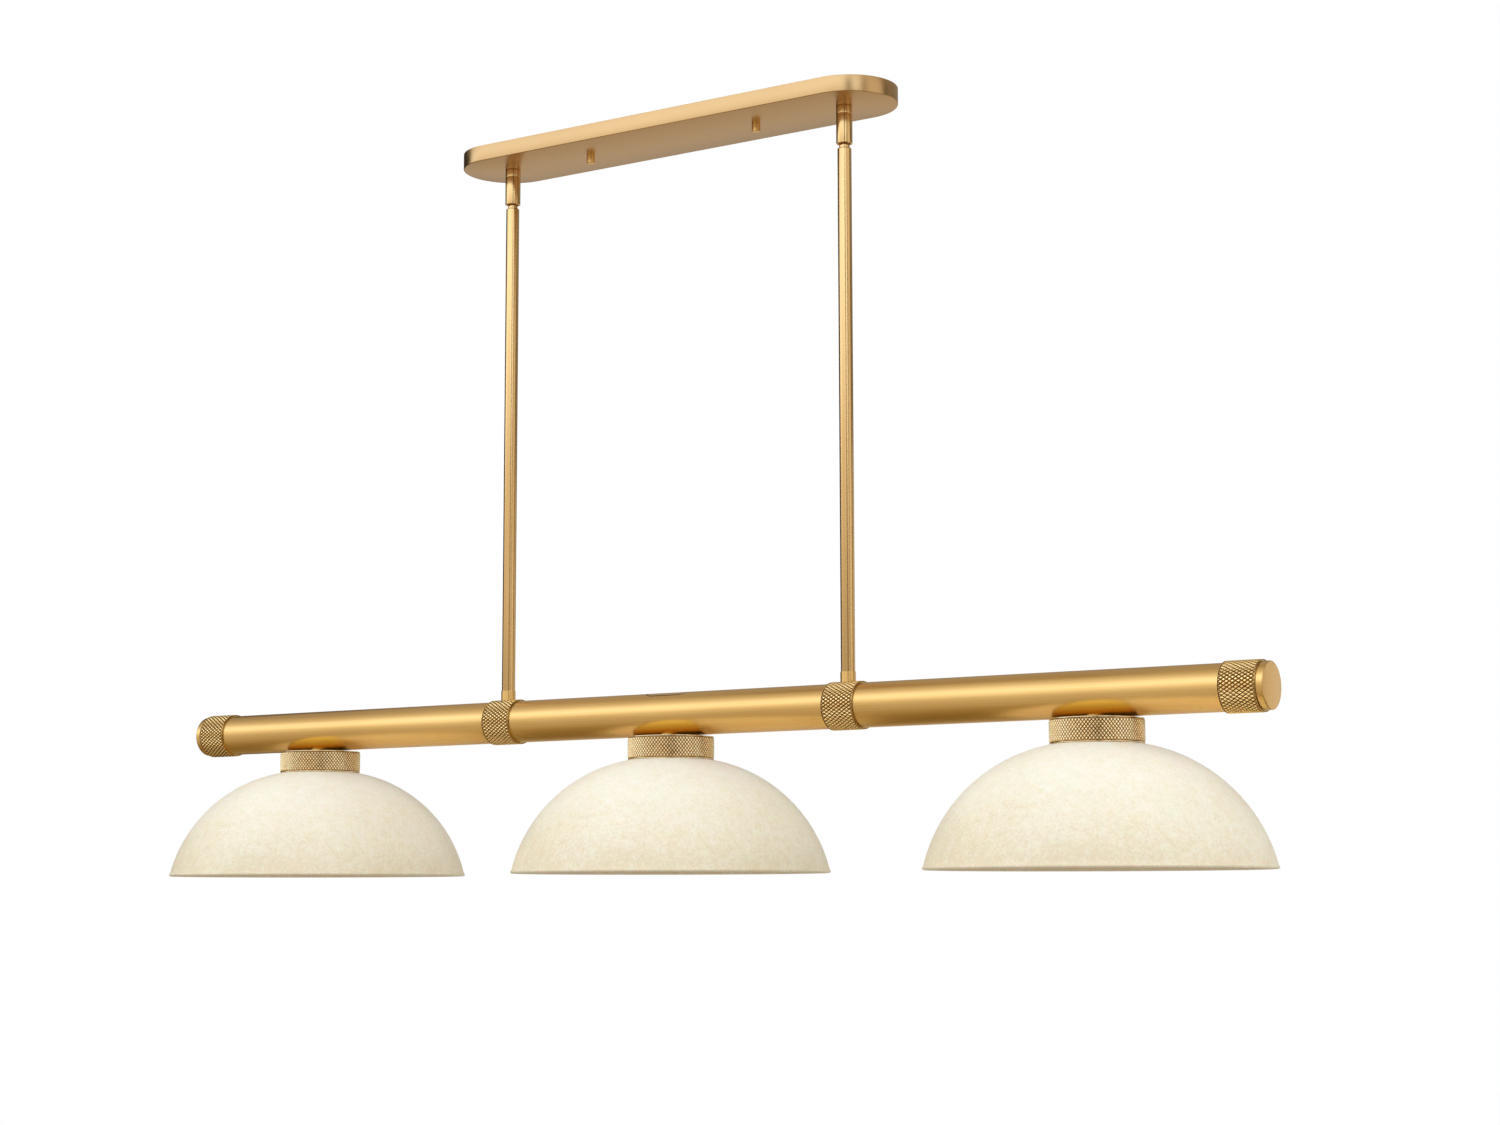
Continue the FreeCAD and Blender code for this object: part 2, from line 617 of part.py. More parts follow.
def make_rings_and_caps():
    half_ring = "ring_width / 2"
    bore = "(tube_radius + fit_gap)"
    for word, side in SIDES:
        ring_outline = [(f"-{half_ring}", bore), (half_ring, bore),
                        (half_ring, RING_RADIUS), (f"-{half_ring}", RING_RADIUS)]
        middle = turned(f"MiddleRing_{word}", ring_outline, along="X")
        pocketed(middle, f"MiddleRingHole_{word}", lambda sketch: draw_circle(sketch, THREAD_HOLE),
                 f"{RING_RADIUS} + overrun", up=True)
        keep(place(middle, x=rod_place(side), z="-tube_drop"), f"middle_ring_{word}")

        end = turned(f"EndRing_{word}", ring_outline, along="X")
        end_place = share_of("(tube_length / 2 - ring_width / 2)", side)
        keep(place(end, x=end_place, z="-tube_drop"), f"end_ring_{word}")

        spigot = f"({TUBE_BORE} - fit_gap)"
        hollow = f"({spigot} - cap_spigot_wall)"
        cap = turned(f"EndCap_{word}", [
            ("-cap_web", "0"), ("-cap_web", hollow), ("-cap_spigot_length", hollow),
            ("-cap_spigot_length", spigot), ("face_gap", spigot), ("face_gap", "tube_radius"),
            ("cap_length - cap_bevel", "tube_radius"), ("cap_length", "tube_radius - cap_bevel"),
            ("cap_length", "0")], along="X")
        turn = 0 if side > 0 else HALF_TURN
        cap_place = share_of("tube_length / 2", side)
        keep(place(cap, x=cap_place, z="-tube_drop", axis=UPRIGHT, angle=turn), f"end_cap_{word}")


# Each lamp hangs on a nipple under the tube: saddle washer, knurled collar, ceramic holder, glass
# dome, gasket and clamping ring, and the bulb.


def make_lamp(word, number):
    def at_lamp(body, label):
        return keep(place(body, x=lamp_place(number), z="-tube_drop"), f"{label}_{word}")

    skirt = "(collar_radius - collar_wall)"
    at_lamp(turned(f"Collar_{word}", [
        (THREAD_HOLE, COLLAR_TOP), (THREAD_HOLE, COLLAR_CEILING), (skirt, COLLAR_CEILING),
        (skirt, f"{COLLAR_FOOT} + collar_bevel"), (f"{skirt} + collar_bevel", COLLAR_FOOT),
        ("collar_radius", COLLAR_FOOT), ("collar_radius", COLLAR_TOP)]), "shade_collar")

    inner_rim = "(shade_radius - glass_wall)"
    inner_dome = "(dome_radius - glass_wall)"
    hole = "(holder_radius + glass_hole_gap)"
    glass = turned(f"Glass_{word}", [
        (inner_rim, "-shade_drop", inner_dome, -1), ("shade_radius", "-shade_drop"),
        ("collar_radius", f"{COLLAR_FOOT} - glass_seat_gap", "dome_radius", 1),
        ("crown_radius", CROWN_TOP), (hole, CROWN_TOP), (hole, CROWN_UNDER),
        ("crown_radius", CROWN_UNDER)])
    edged(glass, f"GlassRim_{word}", "Fillet", "glass_rim_round",
          lambda edge: all(abs(point.Z + value("shade_drop")) < value("fit_gap") for point in edge.Vertexes))
    at_lamp(glass, "glass_shade")

    clamp_top = f"({CROWN_UNDER} - gasket_height)"
    clamp_bore = "(holder_radius + thread_gap)"
    at_lamp(pipe(f"Clamp_{word}", "clamp_radius", clamp_bore, f"{clamp_top} - clamp_height", clamp_top),
            "clamp_ring")
    at_lamp(turned(f"Holder_{word}", [
        (THREAD_HOLE, HOLDER_TOP), ("holder_radius", HOLDER_TOP), ("holder_radius", HOLDER_FOOT),
        ("cavity_radius", HOLDER_FOOT), ("cavity_radius", CAVITY_TOP), ("thread_bore", CAVITY_TOP),
        ("thread_bore", f"{HOLDER_TOP} - thread_grip"),
        (THREAD_HOLE, f"{HOLDER_TOP} - thread_grip")]), "lamp_holder")

    shell_outer = "(cavity_radius - fit_gap)"
    shell_inner = f"({shell_outer} - shell_wall)"
    shell_top = f"({CAVITY_TOP} - face_gap)"
    at_lamp(turned(f"Shell_{word}", [
        (f"{shell_outer} - shell_lip", shell_top), (shell_outer, shell_top),
        (shell_outer, f"{shell_top} - shell_height"), (shell_inner, f"{shell_top} - shell_height"),
        (shell_inner, f"{shell_top} - shell_wall"),
        (f"{shell_outer} - shell_lip", f"{shell_top} - shell_wall")]), "socket_shell")

    tip_foot = f"({BULB_TIP} - base_tip_height)"
    at_lamp(turned(f"Base_{word}", [
        ("0", BULB_TIP), ("base_tip_radius", BULB_TIP), ("base_tip_radius", tip_foot),
        ("base_radius", f"{tip_foot} - base_taper"), ("base_radius", BASE_FOOT), ("0", BASE_FOOT)]),
        "bulb_base")
    glass_start = f"({BASE_FOOT} - face_gap)"
    shoulder = f"({GLOBE_CENTRE} + sqrt(bulb_radius ^ 2 - bulb_shoulder ^ 2))"
    at_lamp(turned(f"Bulb_{word}", [
        ("0", glass_start), ("bulb_neck", glass_start), ("bulb_neck", f"{glass_start} - bulb_neck_length"),
        ("bulb_shoulder", shoulder), ("bulb_radius", GLOBE_CENTRE, "bulb_radius", -1),
        ("0", f"{GLOBE_CENTRE} - bulb_radius", "bulb_radius", -1)]), "bulb_glass")


def make_lamp_fixings():
    """The small identical pieces of the three lamps."""
    kinds = {"lamp_nipples": [], "lamp_nipple_nuts": [], "saddle_washers": [],
             "shade_gaskets": [], "centre_contacts": []}
    for word, number in LAMPS:
        nipple = pipe(f"LampNipple_{word}", "thread_radius", "thread_bore",
                      f"{HOLDER_TOP} - thread_grip + face_gap", f"-{NIPPLE_TIP}")
        nut = hex_nut(f"LampNut_{word}", "nut_width", "nut_height", THREAD_HOLE)
        saddle = pipe(f"Saddle_{word}", "saddle_radius", THREAD_HOLE, COLLAR_TOP,
                      f"{COLLAR_TOP} + saddle_height")
        saddled(saddle, "tube_radius + fit_gap")
        gasket = pipe(f"Gasket_{word}", "clamp_radius", "holder_radius + thread_gap",
                      f"{CROWN_UNDER} - gasket_height", CROWN_UNDER)
        pip_foot = f"({CAVITY_TOP} - contact_height - contact_pip_height)"
        contact = turned(f"Contact_{word}", [
            ("0", CAVITY_TOP), ("contact_radius", CAVITY_TOP),
            ("contact_radius", f"{CAVITY_TOP} - contact_height"),
            ("contact_pip_radius", f"{CAVITY_TOP} - contact_height"),
            ("contact_pip_radius", pip_foot), ("0", pip_foot)])
        for label, body in zip(kinds, (nipple, nut, saddle, gasket, contact)):
            height = "-tube_drop"
            if body is nut:
                height = f"-tube_drop - {NUT_SEAT}"
            kinds[label].append(place(body, x=lamp_place(number), z=height))
    for label, members in kinds.items():
        keep(grouped("Group_" + label, members), label)


# Insulated leads run from the wire connectors in the canopy down the rods and along the tube.


VOLUME_TOLERANCE_SHARE = 0.001


def lead(name, label, route):
    """A round lead along straight runs joined by bends of one radius."""
    corners = [FreeCAD.Vector(*(value(part) for part in point)) for point in route]
    bend = value("lead_bend")
    edges = []
    start = corners[0]
    for before, corner, after in zip(corners, corners[1:], corners[2:]):
        inward = (before - corner).normalize()
        onward = (after - corner).normalize()
        half_angle = inward.getAngle(onward) / 2
        reach = bend / math.tan(half_angle)
        centre = corner + (inward + onward).normalize() * (bend / math.sin(half_angle))
        crest = centre + (corner - centre).normalize() * bend
        bend_start = corner + inward * reach
        bend_end = corner + onward * reach
        edges.append(Part.LineSegment(start, bend_start).toShape())
        edges.append(Part.Arc(bend_start, crest, bend_end).toShape())
        start = bend_end
    edges.append(Part.LineSegment(start, corners[-1]).toShape())
    spine = Part.Wire(edges)
    section = Part.Wire(Part.makeCircle(value("lead_radius"), corners[0], corners[1] - corners[0]))
    item = document.addObject("Part::Feature", name)
    item.Shape = spine.makePipeShell([section], True, False)
    expected = math.pi * value("lead_radius") ** 2 * spine.Length
    if abs(item.Shape.Volume / expected - 1) > VOLUME_TOLERANCE_SHARE:
        raise RuntimeError(f"{name} has the wrong volume")
    return keep(item, label)


def make_leads():
    lead_top = f"({BALL} + ball_radius / 2)"
    run = "(-tube_drop + lead_run_height)"
    lamp_end = f"(-tube_drop + {CAVITY_TOP} + fit_gap)"
    runs = (("left", -1, -1, "lead_offset"), ("centre", 0, -1, "-lead_offset"), ("right", 1, 1, "lead_offset"))
    for word, number, rod_side, offset in runs:
        lead(f"LampLead_{word}", f"lamp_lead_{word}", [
            (rod_place(rod_side), offset, lead_top), (rod_place(rod_side), offset, run),
            (lamp_place(number), offset, run), (lamp_place(number), offset, lamp_end)])

    floor_axis = f"({CANOPY_FLOOR} + connector_radius + fit_gap)"
    connectors = []
    for word, side in SIDES:
        mouth = share_of("connector_place", side)
        cone = turned(f"Connector_{word}", [
            ("0", "0"), ("0", "connector_radius"), ("connector_length", "connector_nose"),
            ("connector_length", "0")], along="X")
        turn = HALF_TURN if side > 0 else 0
        connectors.append(place(cone, x=mouth, z=floor_axis, axis=UPRIGHT, angle=turn))
        rise = "(-lead_rise)"
        turn_place = share_of("(rod_spacing / 2 - lead_side_length)", side)
        lead(f"CanopyLead_{word}", f"canopy_lead_{word}", [
            (rod_place(side), "lead_offset", f"{HANGER_FOOT} - thread_grip / 2"),
            (rod_place(side), "lead_offset", rise), (turn_place, "lead_side_run", rise),
            (share_of("(connector_place + 2 * lead_side_length)", side), "lead_side_run", floor_axis),
            (share_of("(connector_place + lead_side_length)", side), "0", floor_axis),
            (share_of("(connector_place + fit_gap)", side), "0", floor_axis)])
    keep(grouped("ConnectorPair", connectors), "wire_connectors")


make_bracket()
make_ground_screw()
make_canopy_fixings()
make_canopy()
for word, side in SIDES:
    make_swivel(word, side)
    make_rod(word, side)
make_rod_fixings()
make_tube()
make_slot_cover()
make_rings_and_caps()
for word, number in LAMPS:
    make_lamp(word, number)
make_lamp_fixings()
make_leads()

document.recompute()
for item in document.Objects:
    if "Invalid" in item.State or "Error" in item.State:
        raise RuntimeError(f"{item.Name} failed: {item.State}")
for item in NODES:
    if item.Shape.isNull() or not item.Shape.isValid():
        raise RuntimeError(f"{item.Label} has no valid shape")
os.makedirs("parts", exist_ok=True)
for item in NODES:
    item.Shape.exportStep(f"parts/{item.Label}.step")
    box = item.Shape.BoundBox
    print(item.Label, len(item.Shape.Solids), round(item.Shape.Volume, 1), round(box.XMin, 2),
          round(box.XMax, 2), round(box.ZMin, 2), round(box.ZMax, 2))
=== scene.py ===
import math

import bmesh
import bpy
from mathutils import Matrix, Vector


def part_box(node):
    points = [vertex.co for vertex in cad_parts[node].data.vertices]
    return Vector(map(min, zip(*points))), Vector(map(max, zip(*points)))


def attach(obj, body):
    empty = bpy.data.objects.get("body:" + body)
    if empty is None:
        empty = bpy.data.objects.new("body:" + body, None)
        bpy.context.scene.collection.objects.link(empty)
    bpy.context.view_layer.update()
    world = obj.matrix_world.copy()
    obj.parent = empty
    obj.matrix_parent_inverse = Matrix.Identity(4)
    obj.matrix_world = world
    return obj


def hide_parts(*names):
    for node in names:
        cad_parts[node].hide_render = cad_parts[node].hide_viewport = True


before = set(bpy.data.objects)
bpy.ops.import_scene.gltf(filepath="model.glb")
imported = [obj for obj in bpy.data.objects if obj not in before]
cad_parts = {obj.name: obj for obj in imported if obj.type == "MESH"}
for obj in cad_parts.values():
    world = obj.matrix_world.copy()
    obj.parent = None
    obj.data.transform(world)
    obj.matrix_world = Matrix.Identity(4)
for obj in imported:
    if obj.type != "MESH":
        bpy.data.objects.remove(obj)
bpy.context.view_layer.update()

# The camera
# It stands in front and to the right of the light, a little below the shades' rims, and looks
# slightly up. Its place, turn and lens were solved from the straight edges of the light.

CAMERA_PLACE = Vector((1.7698, -2.5073, -0.9128))
CAMERA_YAW = math.radians(33.50366)
CAMERA_PITCH = math.radians(7.1997)
CAMERA_ROLL = math.radians(-0.13584)
CAMERA_REACH = 50
LENS_MM = 63.755
SENSOR_MM = 36.0

camera_data = bpy.data.cameras.new("camera")
camera_data.lens = LENS_MM
camera_data.sensor_width = SENSOR_MM
camera_data.sensor_fit = "HORIZONTAL"
camera_data.clip_end = CAMERA_REACH
camera = bpy.data.objects.new("camera", camera_data)
bpy.context.scene.collection.objects.link(camera)
forward = Vector((-math.sin(CAMERA_YAW) * math.cos(CAMERA_PITCH),
                  math.cos(CAMERA_YAW) * math.cos(CAMERA_PITCH), math.sin(CAMERA_PITCH)))
sideways = Vector((math.cos(CAMERA_YAW), math.sin(CAMERA_YAW), 0))
upward = sideways.cross(forward)
right = sideways * math.cos(CAMERA_ROLL) + upward * math.sin(CAMERA_ROLL)
top = -sideways * math.sin(CAMERA_ROLL) + upward * math.cos(CAMERA_ROLL)
turn = Matrix((right, top, -forward)).transposed().to_4x4()
camera.matrix_world = Matrix.Translation(CAMERA_PLACE) @ turn
bpy.context.scene.camera = camera
bpy.context.scene.view_settings.view_transform = "Standard"


# The room
# A pale floor far below the light and a white surround, with soft lamps in front and to both
# sides. A tent open at both ends and five cards, seen only in reflections, shade the brass.

FLOOR_HEIGHT = -4.0
FLOOR_SIZE = 80
FLOOR_COLOUR = (0.62, 0.61, 0.59, 1)
FLOOR_WHITE = 0.9
FLOOR_GLOW = 1.06
WORLD_LEVEL = 0.70
LAMP_AIM = Vector((0.0, 0.0, -0.6))
# Each lamp's name, place, width, height and power.
LAMPS = (
    ("front_bar", (0.4, -1.7, 1.0), 3.2, 1.3, 27), ("left_panel", (-3.2, -0.8, -0.2), 1.6, 1.6, 25),
    ("right_panel", (3.4, 0.6, 0.2), 1.6, 1.6, 21))
TENT_RADIUS = 3.4
TENT_MIDDLE = (-1.5, 0, -0.5)
TENT_LENGTH = 13.0
TENT_SIDES = 96
TENT_SCALE = 2.0
# Degrees up from the front round the tent, the brightness there, and its warmth, below zero
# where it is cool.
TENT_GLOW = (
    (-180, 0.5, 0.3), (-172, 0.74, 0.4), (-158, 0.68, 0.4), (-133, 0.42, 0.6), (-111, 0.26, 1.0),
    (-79, 0.28, 1.0), (-52, 0.44, 0.7), (-28, 0.68, 0.2), (-8, 0.68, 0.1), (3, 0.95, 0.0),
    (12, 1.15, -0.1), (26, 1.8, -0.7), (36, 1.7, -0.7), (60, 0.9, 0.0), (95, 0.48, 0.2),
    (123, 0.5, 0.3), (140, 0.42, 0.3), (165, 0.3, 0.3), (172, 0.25, 0.3), (177, 0.4, 0.2))
# The shares of green and blue that a warmth of one takes away.
WARM_GREEN_SHARE = 0.25
WARM_BLUE_SHARE = 0.7
CARD_COLOUR = (1, 0.97, 0.9, 1)
# Each card's name, degrees to the right of the front, distance, width, height, the height of its
# middle, and its brightness.
CARDS = (
    ("flag_front", 38, 2.6, 0.5, 3.0, -0.4, 0.1), ("flag_right", 70, 2.8, 0.35, 3.0, -0.4, 0.1),
    ("flag_side", 122, 3.2, 0.8, 3.0, -0.4, 0.1), ("flag_left", -103, 3.0, 3.0, 3.0, -0.4, 0.02),
    ("card_back", 147, 3.3, 1.8, 1.7, -0.75, 0.85))


class Wire:
    """A socket that takes part in Python sums, where each sum is a Math node."""

    def __init__(self, tree, socket):
        self.tree = tree
        self.socket = socket

    def combine(self, operation, other):
        node = self.tree.nodes.new("ShaderNodeMath")
        node.operation = operation
        self.tree.links.new(self.socket, node.inputs[0])
        if isinstance(other, Wire):
            self.tree.links.new(other.socket, node.inputs[1])
        else:
            node.inputs[1].default_value = other
        return Wire(self.tree, node.outputs[0])

    def __add__(self, other):
        return self.combine("ADD", other)

    def __sub__(self, other):
        return self.combine("SUBTRACT", other)

    def __mul__(self, other):
        return self.combine("MULTIPLY", other)

    def __pow__(self, other):
        return self.combine("POWER", other)


class Finish:
    """One material, whose nodes its methods add."""

    def __init__(self, name, **constants):
        self.material = bpy.data.materials.new(name)
        self.material.use_nodes = True
        self.tree = self.material.node_tree
        self.shader = self.tree.nodes["Principled BSDF"]
        for socket, number in constants.items():
            self.shader.inputs[socket.replace("_", " ")].default_value = number

    def node(self, kind, settings=None, inputs=None, output=0):
        """A node with its settings set first, then the values or links of its sockets."""
        node = self.tree.nodes.new("ShaderNode" + kind)
        for name, setting in (settings or {}).items():
            if name == "stops":
                ramp = node.color_ramp.elements
                while len(ramp) < len(setting):
                    ramp.new(0.5)
                for stop, (place, shade) in zip(ramp, setting):
                    stop.position = place
                    stop.color = shade
            else:
                setattr(node, name, setting)
        for name, item in (inputs or {}).items():
            if isinstance(item, Wire):
                self.tree.links.new(item.socket, node.inputs[name])
            else:
                node.inputs[name].default_value = item
        return Wire(self.tree, node.outputs[output])

    def drive(self, **links):
        """Link wires to the sockets of the shader."""
        for socket, wire in links.items():
            self.tree.links.new(wire.socket, self.shader.inputs[socket.replace("_", " ")])

    def place(self, centre=(0, 0, 0), scale=(1, 1, 1)):
        """Object coordinates from a centre, stretched by a scale."""
        here = self.node("TexCoord", output=3)
        shifted = self.node("VectorMath", {"operation": "SUBTRACT"}, {0: here, 1: centre})
        return self.node("VectorMath", {"operation": "MULTIPLY"}, {0: shifted, 1: scale})

    def part(self, place, letter):
        """The x, y or z of a place."""
        return self.node("SeparateXYZ", {}, {0: place}, output="xyz".index(letter))

    def reach(self, centre, scale):
        """The distance from a centre along the directions that the scale keeps."""
        place = self.place(centre, scale)
        return self.node("VectorMath", {"operation": "LENGTH"}, {0: place}, output=1)

    def noise(self, place, scale, detail=3.0, roughness=0.5):
        return self.node("TexNoise", {}, {"Vector": place, "Scale": scale, "Detail": detail,
                                          "Roughness": roughness})

    def mix(self, factor, first, second):
        """A colour between two colours."""
        settings = {"data_type": "RGBA"}
        return self.node("Mix", settings, {0: factor, 6: first, 7: second}, output=2)

    def ramp(self, factor, stops):
        return self.node("ValToRGB", {"stops": stops}, {0: factor})

    def bump(self, height, strength, distance):
        inputs = {"Height": height, "Strength": strength, "Distance": distance}
        return self.node("Bump", {}, inputs)


def shown(add_node):
    """One where the background shows itself: to the camera, and in metal and glass."""
    path = add_node("LightPath")
    outputs = path.socket.node.outputs
    total = path
    for output in ("Is Glossy Ray", "Is Transmission Ray"):
        total = total + Wire(path.tree, outputs[output])
    return total.combine("MINIMUM", 1.0)


bpy.ops.mesh.primitive_plane_add(size=FLOOR_SIZE, location=(0, 0, FLOOR_HEIGHT))
floor = bpy.context.object
floor.name = "floor"
floor_finish = Finish("floor_white", Base_Color=FLOOR_COLOUR, Roughness=0.9)
floor.data.materials.append(floor_finish.material)
floor_tree = floor_finish.tree
glow = floor_tree.nodes.new("ShaderNodeEmission")
glow.inputs["Strength"].default_value = FLOOR_GLOW
floor_mix = floor_tree.nodes.new("ShaderNodeMixShader")
floor_share = shown(floor_finish.node) * FLOOR_WHITE
floor_tree.links.new(floor_share.socket, floor_mix.inputs[0])
floor_tree.links.new(floor_finish.shader.outputs[0], floor_mix.inputs[1])
floor_tree.links.new(glow.outputs[0], floor_mix.inputs[2])
floor_tree.links.new(floor_mix.outputs[0], floor_tree.nodes["Material Output"].inputs[0])

world = bpy.data.worlds.new("surround")
world.use_nodes = True
bpy.context.scene.world = world
world_tree = world.node_tree
background = world_tree.nodes["Background"]
background.inputs["Color"].default_value = (1, 1, 1, 1)


def world_node(kind):
    return Wire(world_tree, world_tree.nodes.new("ShaderNode" + kind).outputs[0])


strength = shown(world_node) * (1 - WORLD_LEVEL) + WORLD_LEVEL
world_tree.links.new(strength.socket, background.inputs["Strength"])

for name, place, width, height, power in LAMPS:
    lamp_data = bpy.data.lights.new(name, "AREA")
    lamp_data.shape = "RECTANGLE"
    lamp_data.size = width
    lamp_data.size_y = height
    lamp_data.energy = power
    lamp = bpy.data.objects.new(name, lamp_data)
    lamp.location = place
    lamp.rotation_euler = (LAMP_AIM - Vector(place)).to_track_quat("-Z", "Y").to_euler()
    lamp.visible_glossy = False
    bpy.context.scene.collection.objects.link(lamp)

bpy.ops.mesh.primitive_cylinder_add(
    vertices=TENT_SIDES, radius=TENT_RADIUS, depth=TENT_LENGTH, end_fill_type="NOTHING",
    location=TENT_MIDDLE, rotation=(0, math.pi / 2, 0))
tent = bpy.context.object
tent.name = "tent"
bpy.ops.object.transform_apply(location=True, rotation=True, scale=True)
tent_finish = Finish("tent_cloth", Base_Color=(0, 0, 0, 1), Specular_IOR_Level=0.0,
                     Emission_Strength=TENT_SCALE)
tent_place = tent_finish.place(TENT_MIDDLE)
tent_up = tent_finish.part(tent_place, "z")
tent_front = tent_finish.part(tent_place, "y") * -1
tent_angle = tent_up.combine("ARCTAN2", tent_front) * (1 / math.tau) + 0.5
tent_stops = []
for degrees, level, warmth in TENT_GLOW:
    shares = (1, 1 - WARM_GREEN_SHARE * warmth, 1 - WARM_BLUE_SHARE * warmth)
    tent_stops.append((degrees / 360 + 0.5, (*(level * share / TENT_SCALE for share in shares), 1)))
tent_finish.drive(Emission_Color=tent_finish.ramp(tent_angle, tent_stops))
tent.data.materials.append(tent_finish.material)
reflectors = [tent]
for name, degrees, distance, width, height, middle_height, level in CARDS:
    around = math.radians(degrees)
    bpy.ops.mesh.primitive_plane_add(
        size=1, rotation=(math.pi / 2, 0, around),
        location=(distance * math.sin(around), -distance * math.cos(around), middle_height))
    card = bpy.context.object
    card.name = name
    card.scale = (width, height, 1)
    card_finish = Finish(name, Base_Color=(0, 0, 0, 1), Specular_IOR_Level=0.0,
                         Emission_Color=CARD_COLOUR, Emission_Strength=level)
    card.data.materials.append(card_finish.material)
    reflectors.append(card)
for reflector in reflectors:
    for ray in ("camera", "diffuse", "transmission", "volume_scatter", "shadow"):
        setattr(reflector, "visible_" + ray, False)


# The canopy
# A shallow pan of brass with round ends, swept once round its own outline, then brushed
# lengthwise and lacquered. Its lower edge is eased.

CANOPY_WALL = 0.0015
CANOPY_EDGE = 0.0009
CANOPY_RIM = 0.000225
CANOPY_STEPS = 48
LACQUER = 0.2
LACQUER_BLUR = 0.18
# How dense the brushed streaks are along and across the brushing.
BRUSH_LENGTH = 3
BRUSH_FINE = 1500
EASE_STEPS = 4
LINE_SEED = 0.001
MERGE_GAP = 0.000005


def colour(red, green, blue):
    """A colour given as it looks on screen, 0 to 255, as the linear value that shaders take."""
    def linear(part):
        share = part / 255
        return share / 12.92 if share <= 0.04045 else ((share + 0.055) / 1.055) ** 2.4
    return (linear(red), linear(green), linear(blue), 1.0)


PAN_DARK = colour(182, 142, 90)
PAN_LIGHT = colour(204, 163, 108)


def sway(middle, *parts):
    """A value about a middle, moved by noises that average a half, each times its weight."""
    total = middle - sum(weight for noise, weight in parts) / 2
    for noise, weight in parts:
        total = noise * weight + total
    return total


def brushed_brass(name, along, dark, light, fine=BRUSH_FINE, rough=0.28, grain=0.8):
    """Brass brushed along a direction, with streaks as strong as the grain."""
    finish = Finish(name, Metallic=1.0, Coat_Weight=LACQUER, Coat_Roughness=LACQUER_BLUR)
    stretch = tuple(BRUSH_LENGTH if letter == along else fine for letter in "xyz")
    streaks = finish.noise(finish.place(scale=stretch), scale=1.0, detail=2.0)
    clouds = finish.noise(finish.place(), scale=5.0, detail=2.0)
    finish.drive(Base_Color=finish.mix(sway(0.5, (streaks, grain), (clouds, 0.6)), dark, light),
                 Roughness=sway(rough, (streaks, 0.1), (clouds, 0.06)),
                 Normal=finish.bump(streaks, strength=0.1, distance=0.00002))
    return finish.material


def clear_selection():
    bpy.ops.object.select_all(action="DESELECT")


def dress(piece, name, body, material, node):
    """Name a finished piece, give it its material and body, and hide the node it shows."""
    piece.name = name
    piece.data.name = name
    piece.data.materials.clear()
    piece.data.materials.append(material)
    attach(piece, body)
    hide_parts(node)


def settle(piece, smooth_angle):
    """Merge doubled points, turn the faces outward, leave edit mode and shade the piece."""
    bpy.ops.mesh.select_all(action="SELECT")
    bpy.ops.mesh.remove_doubles(threshold=MERGE_GAP)
    bpy.ops.mesh.normals_make_consistent(inside=False)
    bpy.ops.object.mode_set(mode="OBJECT")
    piece.select_set(True)
    bpy.ops.object.transform_apply(location=True, rotation=True, scale=True)
    bpy.ops.object.shade_smooth_by_angle(angle=math.radians(smooth_angle))
    return piece


def eased(outline):
    """The outline with each corner that carries a rounding turned into an arc."""
    points = []
    for number, corner in enumerate(outline):
        here = Vector(corner[:2])
        if len(corner) == 2:
            points.append(here)
            continue
        rounding = corner[2]
        back = (Vector(outline[number - 1][:2]) - here).normalized()
        onward = (Vector(outline[(number + 1) % len(outline)][:2]) - here).normalized()
        half = back.angle(onward) / 2
        middle = here + (back + onward).normalized() * (rounding / math.sin(half))
        start = (here + back * (rounding / math.tan(half)) - middle).normalized()
        finish = (here + onward * (rounding / math.tan(half)) - middle).normalized()
        points += [middle + start.slerp(finish, step / EASE_STEPS) * rounding
                   for step in range(EASE_STEPS + 1)]
    return points


def lay_line(points, closed):
    """In a new mesh and edit mode, a chain of edges through the points."""
    clear_selection()
    bpy.ops.mesh.primitive_plane_add(size=LINE_SEED, location=points[0])
    bpy.ops.object.mode_set(mode="EDIT")
    bpy.ops.mesh.select_mode(type="VERT")
    bpy.ops.mesh.merge(type="CENTER")
    following = points[1:] + points[:1] if closed else points[1:]
    for start, finish in zip(points, following):
        bpy.ops.mesh.extrude_region_move(TRANSFORM_OT_translate={"value": finish - start})
    bpy.ops.mesh.select_all(action="SELECT")
    return bpy.context.object


def low(node):
    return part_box(node)[0]


def high(node):
    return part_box(node)[1]


def radius_of(node):
    """Half the node's size from front to back."""
    return (high(node).y - low(node).y) / 2


canopy_half = radius_of("canopy")
canopy_floor = low("canopy").z
canopy_reach = high("canopy").x - canopy_half
canopy_outline = eased([
    (0, canopy_floor), (canopy_half, canopy_floor, CANOPY_EDGE), (canopy_half, 0, CANOPY_RIM),
    (canopy_half - CANOPY_WALL, 0), (canopy_half - CANOPY_WALL, canopy_floor + CANOPY_WALL),
    (0, canopy_floor + CANOPY_WALL)])
canopy = lay_line([Vector((-canopy_reach, -out, height)) for out, height in canopy_outline],
                  closed=False)
for side in (1, -1):
    end = side * canopy_reach
    bpy.ops.mesh.extrude_region_move(TRANSFORM_OT_translate={"value": (2 * end, 0, 0)})
    bpy.ops.mesh.spin(steps=CANOPY_STEPS, angle=math.pi, center=(end, 0, 0), axis=(0, 0, -1))
settle(canopy, smooth_angle=30)
brass_pan = brushed_brass("brass_brushed_pan", "x", PAN_DARK, PAN_LIGHT)
dress(canopy, "canopy_pan", "ceiling_fixing", brass_pan, "canopy")


# The cap nuts
# Two round brass nuts, turned on a lathe, close the canopy on its studs. Their lower edges are
# eased, and their faces show the fine rings of the turning.

